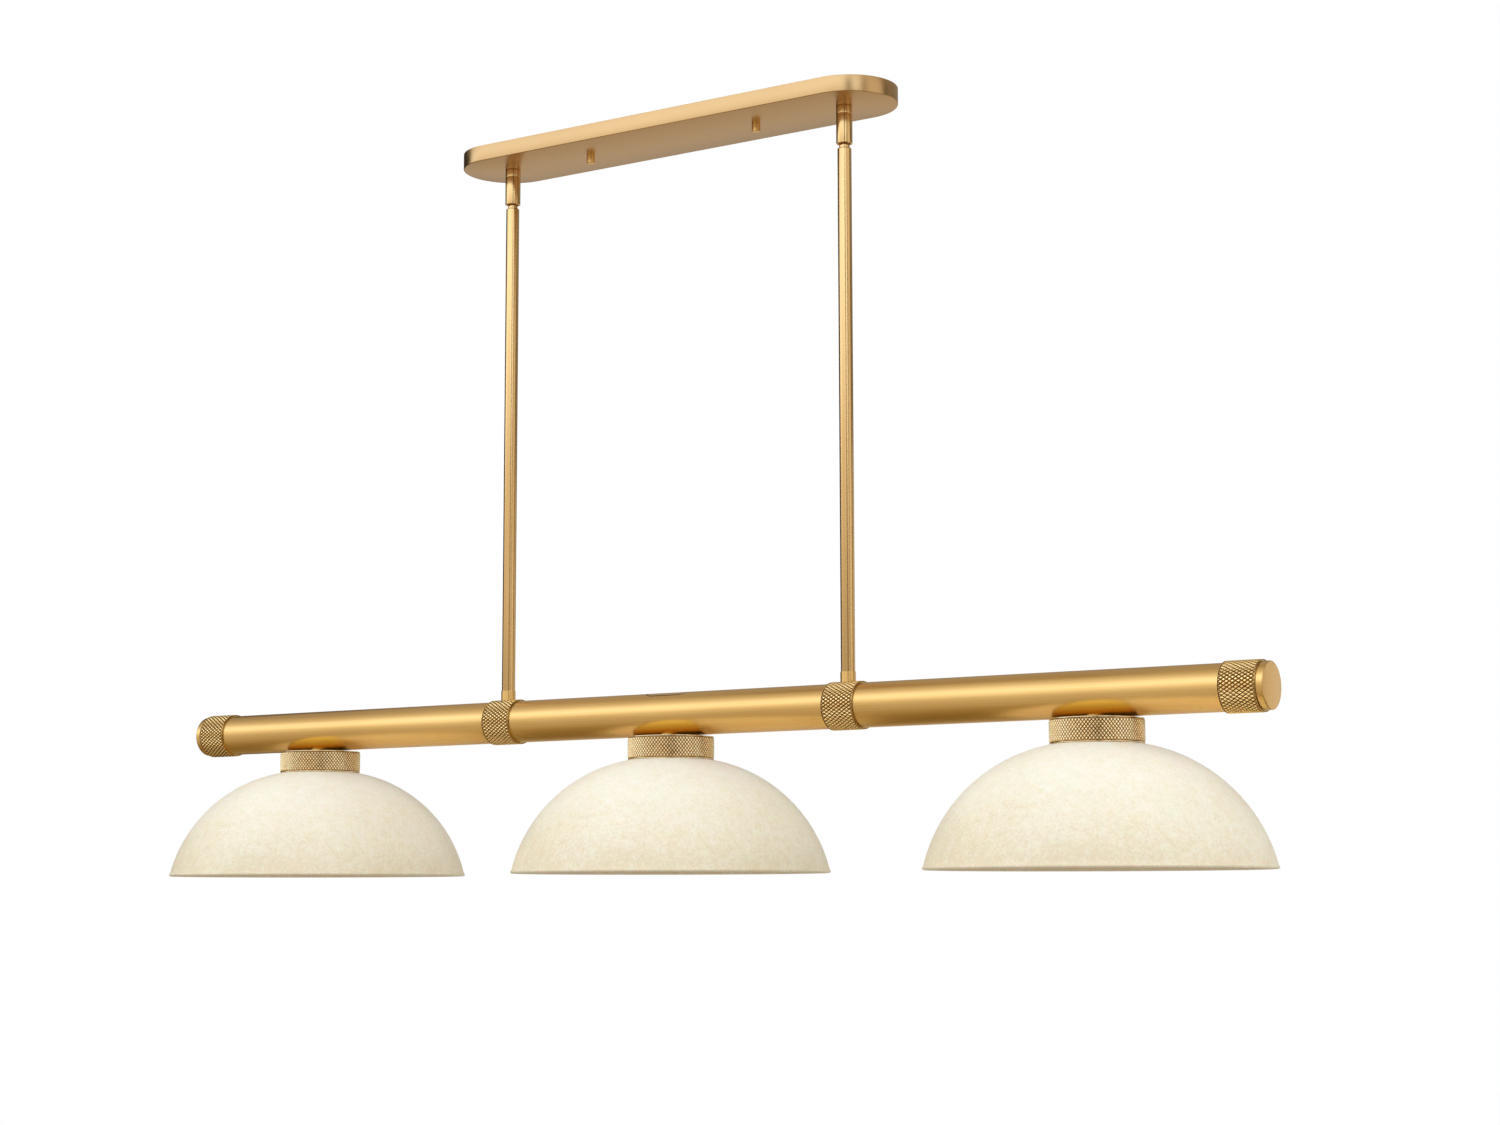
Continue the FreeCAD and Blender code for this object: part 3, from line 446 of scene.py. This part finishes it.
NUT_EASE = 0.0006
TURN_FINE = 4200
TURN_ROUGH = 0.27
BRASS_DARK = colour(208, 160, 86)
BRASS_LIGHT = colour(238, 194, 120)


def turned_brass(name, centre, keep, fine=TURN_FINE):
    """Brass turned on a lathe: fine rings round an axis, told by the directions it keeps."""
    finish = Finish(name, Metallic=1.0, Coat_Weight=LACQUER, Coat_Roughness=LACQUER_BLUR)
    rings = finish.noise(finish.node("CombineXYZ", {}, {0: finish.reach(centre, keep) * fine}), 1.0)
    clouds = finish.noise(finish.place(centre), scale=24.0)
    tone = sway(0.5, (rings, 0.35), (clouds, 0.65))
    finish.drive(Base_Color=finish.mix(tone, BRASS_DARK, BRASS_LIGHT),
                 Roughness=sway(TURN_ROUGH, (rings, 0.14), (clouds, 0.08)),
                 Normal=finish.bump(rings, strength=0.3, distance=0.00003))
    return finish.material


def turn_profile(outline, centre, steps, along="z", smooth_angle=35):
    """Spin an outline of (radius, height) corners about an axis through the centre."""
    axis = Vector((0, 0, 1)) if along == "z" else Vector((1, 0, 0))
    across = Vector((1, 0, 0)) if along == "z" else Vector((0, 0, 1))
    centre = Vector(centre)
    corners = eased(outline)
    piece = lay_line([centre + across * radius + axis * height for radius, height in corners],
                     closed=corners[0].x > 0)
    bpy.ops.mesh.spin(steps=steps, angle=math.tau, center=centre, axis=axis)
    return settle(piece, smooth_angle)


def copied(piece, shift=(0, 0, 0), half_turn=False):
    """A copy with its own mesh, shifted or turned half a turn about the light's middle."""
    clear_selection()
    piece.select_set(True)
    bpy.context.view_layer.objects.active = piece
    bpy.ops.object.duplicate()
    other = bpy.context.object
    other.location = shift
    other.rotation_euler = (0, 0, math.pi if half_turn else 0)
    bpy.ops.object.transform_apply(location=True, rotation=True, scale=True)
    return other


nut_radius = radius_of("cap_nuts")
nut_foot = low("cap_nuts").z
nut_place = high("cap_nuts").x - nut_radius
brass_turned = turned_brass("brass_turned_z", (nut_place, 0, 0), (1, 1, 0))
nut = turn_profile([(0, nut_foot), (nut_radius, nut_foot, NUT_EASE), (nut_radius, canopy_floor),
                    (0, canopy_floor)], (0, 0, 0), steps=48)
for word, side in (("left", -1), ("right", 1)):
    dress(copied(nut, (side * nut_place, 0, 0)), f"cap_nut_{word}", "ceiling_fixing", brass_turned,
          "cap_nuts")
bpy.data.objects.remove(nut)


# The swivels
# A collar under the canopy, a long sleeve and, below it, the neck of the ball's stem, all of
# brass brushed lengthwise. Their edges are eased, so thin light lines part them.

SWIVEL_EASE = 0.0005
NIPPLE_RADIUS = 0.005
NIPPLE_BORE = 0.0035
SLEEVE_WALL = 0.0014
MOUTH_RADIUS = 0.007
MOUTH_LIP = 0.003
MOUTH_TAPER = 0.003
RODS = ("left", "right")
ROD_DARK = colour(197, 154, 92)
ROD_LIGHT = colour(228, 186, 124)

brass_z = brushed_brass("brass_brushed_z", "z", ROD_DARK, ROD_LIGHT, fine=260, rough=0.2, grain=1.3)


def middle(node):
    return (low(node) + high(node)) / 2


def finish_nodes(material, *names):
    """Give CAD nodes that show as they are a material of the scene."""
    for name in names:
        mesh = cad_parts[name].data
        mesh.materials.clear()
        mesh.materials.append(material)


hanger_top = high("hanger_collar_left").z
sleeve_radius = radius_of("swivel_sleeve_left")
sleeve_bore = sleeve_radius - SLEEVE_WALL
sleeve_foot = low("swivel_sleeve_left").z
sleeve_top = high("swivel_sleeve_left").z
hanger = turn_profile([
    (NIPPLE_BORE, hanger_top), (NIPPLE_RADIUS, hanger_top), (NIPPLE_RADIUS, canopy_floor),
    (sleeve_radius, canopy_floor, SWIVEL_EASE), (sleeve_radius, sleeve_top, SWIVEL_EASE),
    (NIPPLE_BORE, sleeve_top)], (0, 0, 0), steps=64)
sleeve = turn_profile([
    (sleeve_radius, sleeve_top, SWIVEL_EASE), (sleeve_radius, sleeve_foot, SWIVEL_EASE),
    (MOUTH_RADIUS, sleeve_foot, SWIVEL_EASE), (MOUTH_RADIUS, sleeve_foot + MOUTH_LIP),
    (sleeve_bore, sleeve_foot + MOUTH_LIP + MOUTH_TAPER), (sleeve_bore, sleeve_top)],
    (0, 0, 0), steps=64)
for word in RODS:
    place = (middle(f"swivel_sleeve_{word}").x, 0, 0)
    dress(copied(hanger, place), f"hanger_{word}", "ceiling_fixing", brass_z,
          f"hanger_collar_{word}")
    dress(copied(sleeve, place), f"sleeve_{word}", "ceiling_fixing", brass_z,
          f"swivel_sleeve_{word}")
for piece in (hanger, sleeve):
    bpy.data.objects.remove(piece)
finish_nodes(brass_z, "ball_stem_left", "ball_stem_right")


# The down rods
# Two straight brass rods with a rounded shoulder and a short narrower foot, and a ferrule below
# each. The ferrule's lower edge follows the ring round the tube, so it stays the CAD solid.

ROD_SHOULDER = 0.0012
ROD_BORE = 0.0051
ROD_FOOT_INSET = 0.0012
ROD_FOOT_HEIGHT = 0.0018
ROD_FOOT_EASE = 0.0003

rod_radius = radius_of("down_rod_left")
rod_foot = low("down_rod_left").z
rod_top = high("down_rod_left").z
foot_radius = rod_radius - ROD_FOOT_INSET
foot_top = rod_foot + ROD_FOOT_HEIGHT
rod = turn_profile([
    (ROD_BORE, rod_foot), (foot_radius, rod_foot), (foot_radius, foot_top),
    (rod_radius, foot_top, ROD_FOOT_EASE), (rod_radius, rod_top, ROD_SHOULDER),
    (ROD_BORE, rod_top)], (0, 0, 0), steps=64)
for word in RODS:
    node = f"down_rod_{word}"
    dress(copied(rod, (middle(node).x, 0, 0)), f"rod_{word}", "hanging_frame", brass_z,
          node)
bpy.data.objects.remove(rod)
finish_nodes(brass_turned, "rod_coupling_left", "rod_coupling_right")


# The main tube
# One length of drawn brass tube, brushed lengthwise. The wiring slot in its top is closed by a
# curved plate whose border is painted dark as the shadow in the gap round it. Both are the CAD
# solids.

COVER_GAP_SHADOW_WIDTH = 0.0014
GAP_SHADOW_COLOUR = colour(62, 44, 24)

tube_radius = radius_of("main_tube")
tube_axis = middle("main_tube").z
brass_x = brushed_brass("brass_brushed_x", "x", BRASS_DARK, BRASS_LIGHT, rough=0.32)
finish_nodes(brass_x, "main_tube")

cover_half = radius_of("slot_cover")
cover_finish = Finish("brass_slot_cover", Metallic=1.0, Coat_Weight=LACQUER,
                      Coat_Roughness=LACQUER_BLUR)
cover_place = cover_finish.place()
cover_across = cover_finish.part(cover_place, "y")
beyond = cover_finish.part(cover_place, "x").combine("ABSOLUTE", 0)
beyond = (beyond - (high("slot_cover").x - cover_half)).combine("MAXIMUM", 0)
from_middle = (beyond * beyond + cover_across * cover_across) ** 0.5
# Painted shadow: a dark band round the cover's border stands for the shade in its gap.
gap_shadow = from_middle.combine("GREATER_THAN", cover_half - COVER_GAP_SHADOW_WIDTH)
cover_streaks = cover_finish.noise(
    cover_finish.place(scale=(BRUSH_LENGTH, BRUSH_FINE, BRUSH_FINE)), scale=1.0, detail=2.0)
cover_brass = cover_finish.mix(cover_streaks, BRASS_DARK, BRASS_LIGHT)
cover_finish.drive(Base_Color=cover_finish.mix(gap_shadow, cover_brass, GAP_SHADOW_COLOUR),
                   Roughness=sway(0.31, (cover_streaks, 0.1)),
                   Normal=cover_finish.bump(cover_streaks, strength=0.1, distance=0.00002))
finish_nodes(cover_finish.material, "slot_cover")


# The knurled rings
# A brass ring on the tube under each rod and at each end. Two crossing rows of grooves leave
# raised diamonds, with painted shade in the grooves and pale points, partly wear and partly
# painted highlight.

RING_CUT = 0.0009
RING_LIP = 0.0004
RING_BORE_GAP = 0.0001
RING_AROUND = 40
RING_ROWS = 6
# Painted shade in the grooves, a painted half shade on the flanks, and pale points, partly wear and
# partly painted highlight.
GROOVE_PAINTED_SHADE = colour(54, 30, 8)
FLANK_PAINTED_HALF_SHADE = colour(184, 130, 58)
RING_POINT_WEAR_AND_HIGHLIGHT = colour(255, 222, 152)
RING_HIGHLIGHT_SPREAD = 0.13
PLATE_DARK = colour(218, 190, 92)
PLATE_LIGHT = colour(236, 210, 116)
PLATE_SHARE = 0.75
WEAR_SHARE = 0.2
# The height over the grooves' floor at which each tone of painted shade and highlight stands, as
# a share of the cut.
SHADE_TO_HIGHLIGHT_SHARES = ((0.15, GROOVE_PAINTED_SHADE), (0.4, FLANK_PAINTED_HALF_SHADE), (0.65, BRASS_LIGHT))
POINT_HIGHLIGHT_SHARE = 0.9
# The corners of whole and half diamonds, their inset over their half width, and their rise.
DIAMOND_SHARES = ((4, 0.62, 0.96), (3, 0.45, 0.6))
# How much of an upright and of a level edge runs along the axis, at least and at most.
UPRIGHT = 0.99
LEVEL = 0.01


def knurled_brass(name, centre, keep, bottom, crest, point_wear_and_highlight, highlight_spread):
    """Brass whose colour goes from painted shade in the grooves to pale points, partly wear and
    partly painted highlight, with the distance from an axis.
    """
    finish = Finish(name, Metallic=1.0, Coat_Weight=LACQUER, Coat_Roughness=0.2)
    reach = finish.reach(centre, keep)
    wear = finish.noise(finish.place(centre), scale=160.0)
    (groove_share, groove_shade), *flanks = SHADE_TO_HIGHLIGHT_SHARES
    stops = [(groove_share - highlight_spread / 4, groove_shade)]
    stops += [(share - highlight_spread, shade) for share, shade in flanks]
    stops += [(POINT_HIGHLIGHT_SHARE - highlight_spread, point_wear_and_highlight)]
    # The ramp paints shade into the grooves and highlight, with some wear, onto the points.
    height = (reach - bottom) * (1 / (crest - bottom)) + sway(0, (wear, WEAR_SHARE))
    plain = finish.mix(wear, PLATE_DARK, PLATE_LIGHT)
    inside = reach.combine("LESS_THAN", bottom - PLATE_SHARE * (crest - bottom))
    finish.drive(Base_Color=finish.mix(inside, finish.ramp(height, stops), plain),
                 Roughness=sway(0.275, (wear, 0.15)),
                 Normal=finish.bump(wear, strength=0.15, distance=0.00005))
    return finish.material


def pick(piece, kind, wanted):
    """In edit mode, select the edges or faces that a test wants."""
    bpy.ops.mesh.select_all(action="DESELECT")
    grid = bmesh.from_edit_mesh(piece.data)
    for item in getattr(grid, kind):
        if wanted(item):
            item.select_set(True)
    bmesh.update_edit_mesh(piece.data)


def ring_up(axis, centre, start, stations):
    """Extrude the selected loop through (radius, height) stations along an axis."""
    radius, height = start
    flat = Vector((1, 1, 1)) - axis
    for next_radius, next_height in stations:
        size = axis + flat * (next_radius / radius)
        bpy.ops.mesh.extrude_edges_move(
            TRANSFORM_OT_translate={"value": axis * (next_height - height)})
        bpy.ops.transform.resize(value=size, center_override=centre + axis * next_height)
        radius, height = next_radius, next_height


def knurled_band(along, centre, radius, ends, around, rows, cut, above, below):
    """A band with raised diamonds between two ends, closed through stations at each end."""
    axis = Vector((0, 0, 1)) if along == "z" else Vector((1, 0, 0))
    centre = Vector(centre)
    foot, crown = ends
    half_way = (foot + crown) / 2
    root = radius - cut
    turn = (0, 0, 0) if along == "z" else (0, math.pi / 2, 0)
    clear_selection()
    bpy.ops.mesh.primitive_cylinder_add(
        vertices=around, radius=root, depth=crown - foot, end_fill_type="NOTHING",
        location=centre + axis * half_way, rotation=turn)
    bpy.ops.object.transform_apply(location=True, rotation=True, scale=True)
    band = bpy.context.object
    bpy.ops.object.mode_set(mode="EDIT")

    def lean(edge):
        return abs((edge.verts[1].co - edge.verts[0].co).normalized().dot(axis))

    bpy.ops.mesh.select_mode(type="EDGE")
    pick(band, "edges", lambda edge: lean(edge) > UPRIGHT)
    bpy.ops.mesh.subdivide(number_cuts=rows - 1)
    bpy.ops.mesh.select_all(action="SELECT")
    bpy.ops.mesh.poke()
    pick(band, "edges", lambda edge: not edge.is_boundary and not LEVEL < lean(edge) < UPRIGHT)
    bpy.ops.mesh.dissolve_edges(use_verts=False)
    half_wide = math.pi * root / around
    half_tall = (crown - foot) / rows / 2
    inner = half_wide * half_tall / math.hypot(half_wide, half_tall)
    bpy.ops.mesh.select_mode(type="FACE")
    for corners, inset, rise in DIAMOND_SHARES:
        pick(band, "faces", lambda face: len(face.verts) == corners)
        bpy.ops.mesh.inset(thickness=inner * inset, depth=cut * rise, use_individual=True)
    bpy.ops.mesh.select_mode(type="EDGE")
    for stations, height, side in ((below, foot, -1), (above, crown, 1)):
        pick(band, "edges", lambda edge: edge.is_boundary
             and ((edge.verts[0].co - centre).dot(axis) - half_way) * side > 0)
        ring_up(axis, centre, (root, height), stations)
    pick(band, "edges", lambda edge: edge.is_boundary)
    bpy.ops.mesh.bridge_edge_loops()
    return settle(band, smooth_angle=20)


ring_radius = radius_of("end_ring_right")
ring_bore = tube_radius + RING_BORE_GAP
ring_edge = ring_radius - RING_LIP / 2
knurled_x = knurled_brass("brass_knurled_x", (0, 0, tube_axis), (0, 1, 1), ring_radius - RING_CUT,
                          ring_radius, RING_POINT_WEAR_AND_HIGHLIGHT, RING_HIGHLIGHT_SPREAD)
for kind in ("middle_ring", "end_ring"):
    node = f"{kind}_right"
    ring_foot, ring_crown = low(node).x, high(node).x
    above = ((ring_edge, ring_crown - RING_LIP / 2), (ring_edge, ring_crown),
             (ring_bore, ring_crown), (ring_bore, ring_foot))
    below = ((ring_edge, ring_foot + RING_LIP / 2), (ring_edge, ring_foot))
    ring = knurled_band("x", (0, 0, tube_axis), ring_radius,
                        (ring_foot + RING_LIP, ring_crown - RING_LIP),
                        RING_AROUND, RING_ROWS, RING_CUT, above, below)
    other = copied(ring, half_turn=True)
    dress(ring, f"knurled_{kind}_right", "hanging_frame", knurled_x, node)
    dress(other, f"knurled_{kind}_left", "hanging_frame", knurled_x,
          f"{kind}_left")


# The end caps
# A brass disc with an eased edge closes each end of the tube, on a hollow spigot inside it. Its
# face is turned.

CAP_EASE = 0.001
CAP_GAP = 0.00005
SPIGOT_INSET = 0.0021
SPIGOT_WALL = 0.003

cap_face = high("end_cap_right").x
cap_back = low("end_cap_right").x
cap_seat = high("main_tube").x + CAP_GAP
spigot_radius = tube_radius - SPIGOT_INSET
spigot_bore = spigot_radius - SPIGOT_WALL
brass_cap = turned_brass("brass_turned_x", (0, 0, tube_axis), (0, 1, 1))
cap = turn_profile([
    (0, cap_face), (tube_radius, cap_face, CAP_EASE), (tube_radius, cap_seat),
    (spigot_radius, cap_seat), (spigot_radius, cap_back), (spigot_bore, cap_back),
    (spigot_bore, cap_seat - SPIGOT_WALL), (0, cap_seat - SPIGOT_WALL)],
    (0, 0, tube_axis), along="x", steps=128)
other = copied(cap, half_turn=True)
dress(cap, "cap_right", "hanging_frame", brass_cap, "end_cap_right")
dress(other, "cap_left", "hanging_frame", brass_cap, "end_cap_left")


# The shade collars
# A knurled brass cup under the tube for each shade. Its diamonds are smaller than the rings',
# with a paler painted highlight on their points, and a plain lip runs round its top and its foot.

COLLAR_CUT = 0.001
COLLAR_LIP = 0.0007
COLLAR_AROUND = 82
COLLAR_ROWS = 5
COLLAR_HOLE = 0.0051
COLLAR_PLATE = 0.002
COLLAR_WALL = 0.0025
COLLAR_BEVEL = 0.0015
# The points' pale colour, partly wear and partly painted highlight, spreads further than on the
# rings.
COLLAR_POINT_WEAR_AND_HIGHLIGHT = colour(255, 241, 200)
COLLAR_HIGHLIGHT_SPREAD = 0.2
SHADES = ("left", "centre", "right")

collar_radius = radius_of("shade_collar_centre")
collar_foot = low("shade_collar_centre").z
collar_top = high("shade_collar_centre").z
collar_skirt = collar_radius - COLLAR_WALL
collar_edge = collar_radius - COLLAR_CUT / 3
edge_inset = collar_edge - COLLAR_LIP / 2
above = ((collar_edge, collar_top - 1.5 * COLLAR_LIP), (collar_edge, collar_top - COLLAR_LIP / 2),
         (edge_inset, collar_top), (COLLAR_HOLE, collar_top),
         (COLLAR_HOLE, collar_top - COLLAR_PLATE), (collar_skirt, collar_top - COLLAR_PLATE),
         (collar_skirt, collar_foot + COLLAR_BEVEL))
below = ((collar_edge, collar_foot + 1.5 * COLLAR_LIP), (collar_edge, collar_foot + COLLAR_LIP / 2),
         (edge_inset, collar_foot), (collar_skirt + COLLAR_BEVEL, collar_foot))
collar = knurled_band("z", (0, 0, 0), collar_radius,
                      (collar_foot + 2 * COLLAR_LIP, collar_top - 2 * COLLAR_LIP),
                      COLLAR_AROUND, COLLAR_ROWS, COLLAR_CUT, above, below)
for word in SHADES:
    node = f"shade_collar_{word}"
    place = middle(node).x
    finish = knurled_brass(f"brass_knurled_{word}", (place, 0, 0), (1, 1, 0),
                           collar_radius - COLLAR_CUT, collar_radius, COLLAR_POINT_WEAR_AND_HIGHLIGHT, COLLAR_HIGHLIGHT_SPREAD)
    dress(copied(collar, (place, 0, 0)), f"collar_{word}", "hanging_frame", finish,
          node)
bpy.data.objects.remove(collar)


# The glass shades
# Each is a dome of cream opal glass whose outline is one arc, with a flat crown inside the
# collar and a rounded bead at the rim. The cream is mottled, with painted shade that makes it
# darker and warmer low down and lighter towards the crown.

GLASS_WALL = 0.004
GLASS_TRIM = 0.0008
RIM_BEAD = 0.0022
BEAD_TOP = 0.00396
BEAD_OVERLAP = math.pi / 10
DOME_ARC = 0.169
DOME_OFFSET = 0.019
DOME_DROP = 0.036
CROWN_RADIUS = 0.044
CROWN_HOLE = 0.021
DOME_STEPS = 40
RIM_STEPS = 10
CREAM_WARM_SHADED = colour(233, 219, 187)
CREAM_MIDDLE = colour(244, 235, 213)
CREAM_PALE_LIT = colour(252, 245, 233)

glass_radius = radius_of("glass_shade_centre")
rim_height = low("glass_shade_centre").z
crown_top = high("glass_shade_centre").z


def arc_points(radius, centre, start, finish, steps):
    """Points along an arc between two angles."""
    return [Vector((centre[0] + radius * math.cos(angle), centre[1] + radius * math.sin(angle)))
            for angle in (start + (finish - start) * step / steps for step in range(steps + 1))]


def dome_outline():
    """Outside of the dome from the rim to the crown, over the hole and back down inside."""
    centre = (DOME_OFFSET, rim_height - DOME_DROP)
    outer = DOME_ARC - GLASS_TRIM
    inner = DOME_ARC - GLASS_WALL
    outer_start = math.asin((DOME_DROP + BEAD_TOP) / outer)
    outer_end = math.acos((collar_radius - DOME_OFFSET) / outer)
    inner_end = math.acos((CROWN_RADIUS - DOME_OFFSET) / inner)
    inner_start = math.asin((DOME_DROP + BEAD_TOP) / inner)
    bead = (glass_radius - RIM_BEAD, rim_height + RIM_BEAD)
    return (arc_points(outer, centre, outer_start, outer_end, DOME_STEPS)
            + [Vector((CROWN_RADIUS, crown_top)), Vector((CROWN_HOLE, crown_top)),
               Vector((CROWN_HOLE, crown_top - GLASS_WALL))]
            + arc_points(inner, centre, inner_end, inner_start, DOME_STEPS)
            + arc_points(RIM_BEAD, bead, -math.pi - BEAD_OVERLAP, BEAD_OVERLAP, RIM_STEPS))


def cream_glass(name, place):
    """Opal glass: soft clouds, fine mottling, and painted shade, darker and warmer towards the rim.
    """
    finish = Finish(name, Subsurface_Weight=0.25, Subsurface_Scale=0.01, Coat_Weight=0.1,
                    Coat_Roughness=0.25, Specular_IOR_Level=0.25)
    here = finish.place((place, 0, rim_height))
    clouds = finish.noise(here, scale=9.0, detail=4.0, roughness=0.6)
    mottle = finish.noise(here, scale=110.0, detail=6.0, roughness=0.75)
    specks = finish.noise(here, scale=340.0, detail=3.0, roughness=0.6)
    # Painted shade: the tone is lighter towards the crown, and darker and warmer towards the rim.
    height = finish.part(here, "z") * (1 / (crown_top - rim_height))
    tone = sway(0.5, (clouds, 0.5), (mottle, 0.7), (specks, 0.8), (height, 0.5))
    shade = finish.ramp(tone, [(0.2, CREAM_WARM_SHADED), (0.5, CREAM_MIDDLE), (0.8, CREAM_PALE_LIT)])
    finish.drive(Base_Color=shade, Roughness=sway(0.4, (mottle, 0.2)),
                 Normal=finish.bump(mottle, strength=0.12, distance=0.0006))
    return finish.material


shade = turn_profile(dome_outline(), (0, 0, 0), steps=160, smooth_angle=50)
for word in SHADES:
    node = f"glass_shade_{word}"
    place = middle(node).x
    finish = cream_glass(f"cream_glass_{word}", place)
    dress(copied(shade, (place, 0, 0)), f"glass_{word}", "hanging_frame", finish,
          node)
bpy.data.objects.remove(shade)


# The lamp holders and bulbs
# Inside each shade a glazed ceramic holder stands in a brass clamping ring, with a frosted globe
# bulb below it.

HOLDER_EASE = 0.0015
CLAMP_EASE = 0.0008
HOLDER_GAP = 0.0001
CAVITY_RADIUS = 0.0145
CAVITY_DEPTH = 0.034
CAVITY_EASE = 0.00075
BULB_RADIUS = 0.030
BULB_SHOULDER = 0.016
BULB_NECK = 0.0126
BULB_NECK_LENGTH = 0.008
GLOBE_STEPS = 24
CLAMP_FINE = 2600
GLAZE_DARK = colour(228, 224, 214)
GLAZE_LIGHT = colour(246, 244, 238)
FROST_DARK = colour(240, 238, 230)
FROST_LIGHT = colour(252, 251, 247)
LIT_DARK = colour(255, 246, 226)
LIT_LIGHT = colour(255, 250, 238)

ceramic = Finish("white_glaze", Coat_Weight=0.6, Coat_Roughness=0.05)
glaze = ceramic.noise(ceramic.place(), scale=45.0)
ceramic.drive(Base_Color=ceramic.mix(glaze, GLAZE_DARK, GLAZE_LIGHT),
              Roughness=sway(0.25, (glaze, 0.1)),
              Normal=ceramic.bump(glaze, strength=0.08, distance=0.0004))
frost = Finish("frosted_globe", Subsurface_Weight=0.2, Subsurface_Scale=0.005,
               Emission_Strength=0.08)
haze = frost.noise(frost.place(), scale=300.0, detail=2.0)
frost.drive(Base_Color=frost.mix(haze, FROST_DARK, FROST_LIGHT),
            Emission_Color=frost.mix(haze, LIT_DARK, LIT_LIGHT),
            Roughness=sway(0.375, (haze, 0.15)))

holder_radius = radius_of("lamp_holder_centre")
holder_top = high("lamp_holder_centre").z
holder_foot = low("lamp_holder_centre").z
cavity_top = holder_foot + CAVITY_DEPTH
clamp_bore = holder_radius + HOLDER_GAP
clamp_radius = radius_of("clamp_ring_centre")
clamp_top = high("clamp_ring_centre").z
clamp_foot = low("clamp_ring_centre").z
bulb_top = high("bulb_glass_centre").z
bulb_foot = low("bulb_glass_centre").z
shoulder = math.acos(BULB_SHOULDER / BULB_RADIUS)
globe = arc_points(BULB_RADIUS, (0, bulb_foot + BULB_RADIUS), shoulder, -math.pi / 2, GLOBE_STEPS)
holder = turn_profile([
    (COLLAR_HOLE, holder_top), (holder_radius, holder_top, HOLDER_EASE),
    (holder_radius, holder_foot, HOLDER_EASE), (CAVITY_RADIUS, holder_foot, CAVITY_EASE),
    (CAVITY_RADIUS, cavity_top), (COLLAR_HOLE, cavity_top)], (0, 0, 0), steps=80)
clamp = turn_profile([
    (clamp_bore, clamp_top), (clamp_radius, clamp_top, CLAMP_EASE),
    (clamp_radius, clamp_foot, CLAMP_EASE), (clamp_bore, clamp_foot, CLAMP_EASE)],
    (0, 0, 0), steps=80)
bulb = turn_profile([
    (0, bulb_top), (BULB_NECK, bulb_top), (BULB_NECK, bulb_top - BULB_NECK_LENGTH), *globe[:-1],
    (0, bulb_foot)], (0, 0, 0), steps=80, smooth_angle=50)
for word in SHADES:
    place = (middle(f"lamp_holder_{word}").x, 0, 0)
    brass_clamp = turned_brass(f"brass_clamp_{word}", place, (1, 1, 0), CLAMP_FINE)
    for piece, name, finish, slot, node in (
            (holder, "holder", ceramic.material, "white_ceramic", "lamp_holder"),
            (clamp, "clamp", brass_clamp, "plain_brass", "clamp_ring"),
            (bulb, "globe", frost.material, "frosted_bulb", "bulb_glass")):
        dress(copied(piece, place), f"{name}_{word}", "hanging_frame", finish,
              f"{node}_{word}")
for piece in (holder, clamp, bulb):
    bpy.data.objects.remove(piece)


# The hidden fittings
# The strap, studs and nuts in the canopy, the nipples in the tube, the lamps' shells and the
# leads keep their CAD solids, with the finish of each material.


def worn(name, dark, light, scale, rough, metallic=0.0):
    """A plain surface with a cloudy change of tone and sheen."""
    finish = Finish(name, Metallic=metallic)
    clouds = finish.noise(finish.place(), scale, detail=4.0, roughness=0.6)
    finish.drive(Base_Color=finish.mix(clouds, dark, light), Roughness=sway(rough, (clouds, 0.2)),
                 Normal=finish.bump(clouds, strength=0.1, distance=0.0001))
    return finish.material


ZINC = worn("zinc_plate", colour(150, 152, 154), colour(196, 198, 200), 60.0, 0.4, 1.0)
PLAIN_BRASS = worn("brass_plain", colour(176, 134, 66), colour(222, 182, 108), 80.0, 0.35, 1.0)
JACKET = worn("lead_jacket_cream", colour(222, 214, 196), colour(240, 235, 222), 120.0, 0.5)
CONNECTOR = worn("connector_orange", colour(206, 108, 30), colour(232, 136, 48), 90.0, 0.45)
SILICONE = worn("silicone_pale", colour(214, 210, 200), colour(234, 231, 224), 90.0, 0.65)
BULB_CAP = worn("nickel_cap", colour(176, 176, 172), colour(212, 212, 208), 110.0, 0.35, 1.0)
GREEN = worn("green_dye", colour(26, 92, 44), colour(44, 128, 66), 150.0, 0.4, 0.6)

finish_nodes(ZINC, "mounting_bracket", "canopy_studs", "stud_jam_nuts")
finish_nodes(PLAIN_BRASS, "canopy_nipple_nuts", "rod_nipples", "rod_nipple_nuts", "lamp_nipples",
             "lamp_nipple_nuts", "saddle_washers", "centre_contacts",
             *(f"socket_shell_{word}" for word in SHADES))
finish_nodes(JACKET, "canopy_lead_left", "canopy_lead_right",
             *(f"lamp_lead_{word}" for word in SHADES))
finish_nodes(CONNECTOR, "wire_connectors")
finish_nodes(SILICONE, "shade_gaskets")
finish_nodes(BULB_CAP, *(f"bulb_base_{word}" for word in SHADES))
finish_nodes(GREEN, "ground_screw")

bpy.context.view_layer.update()
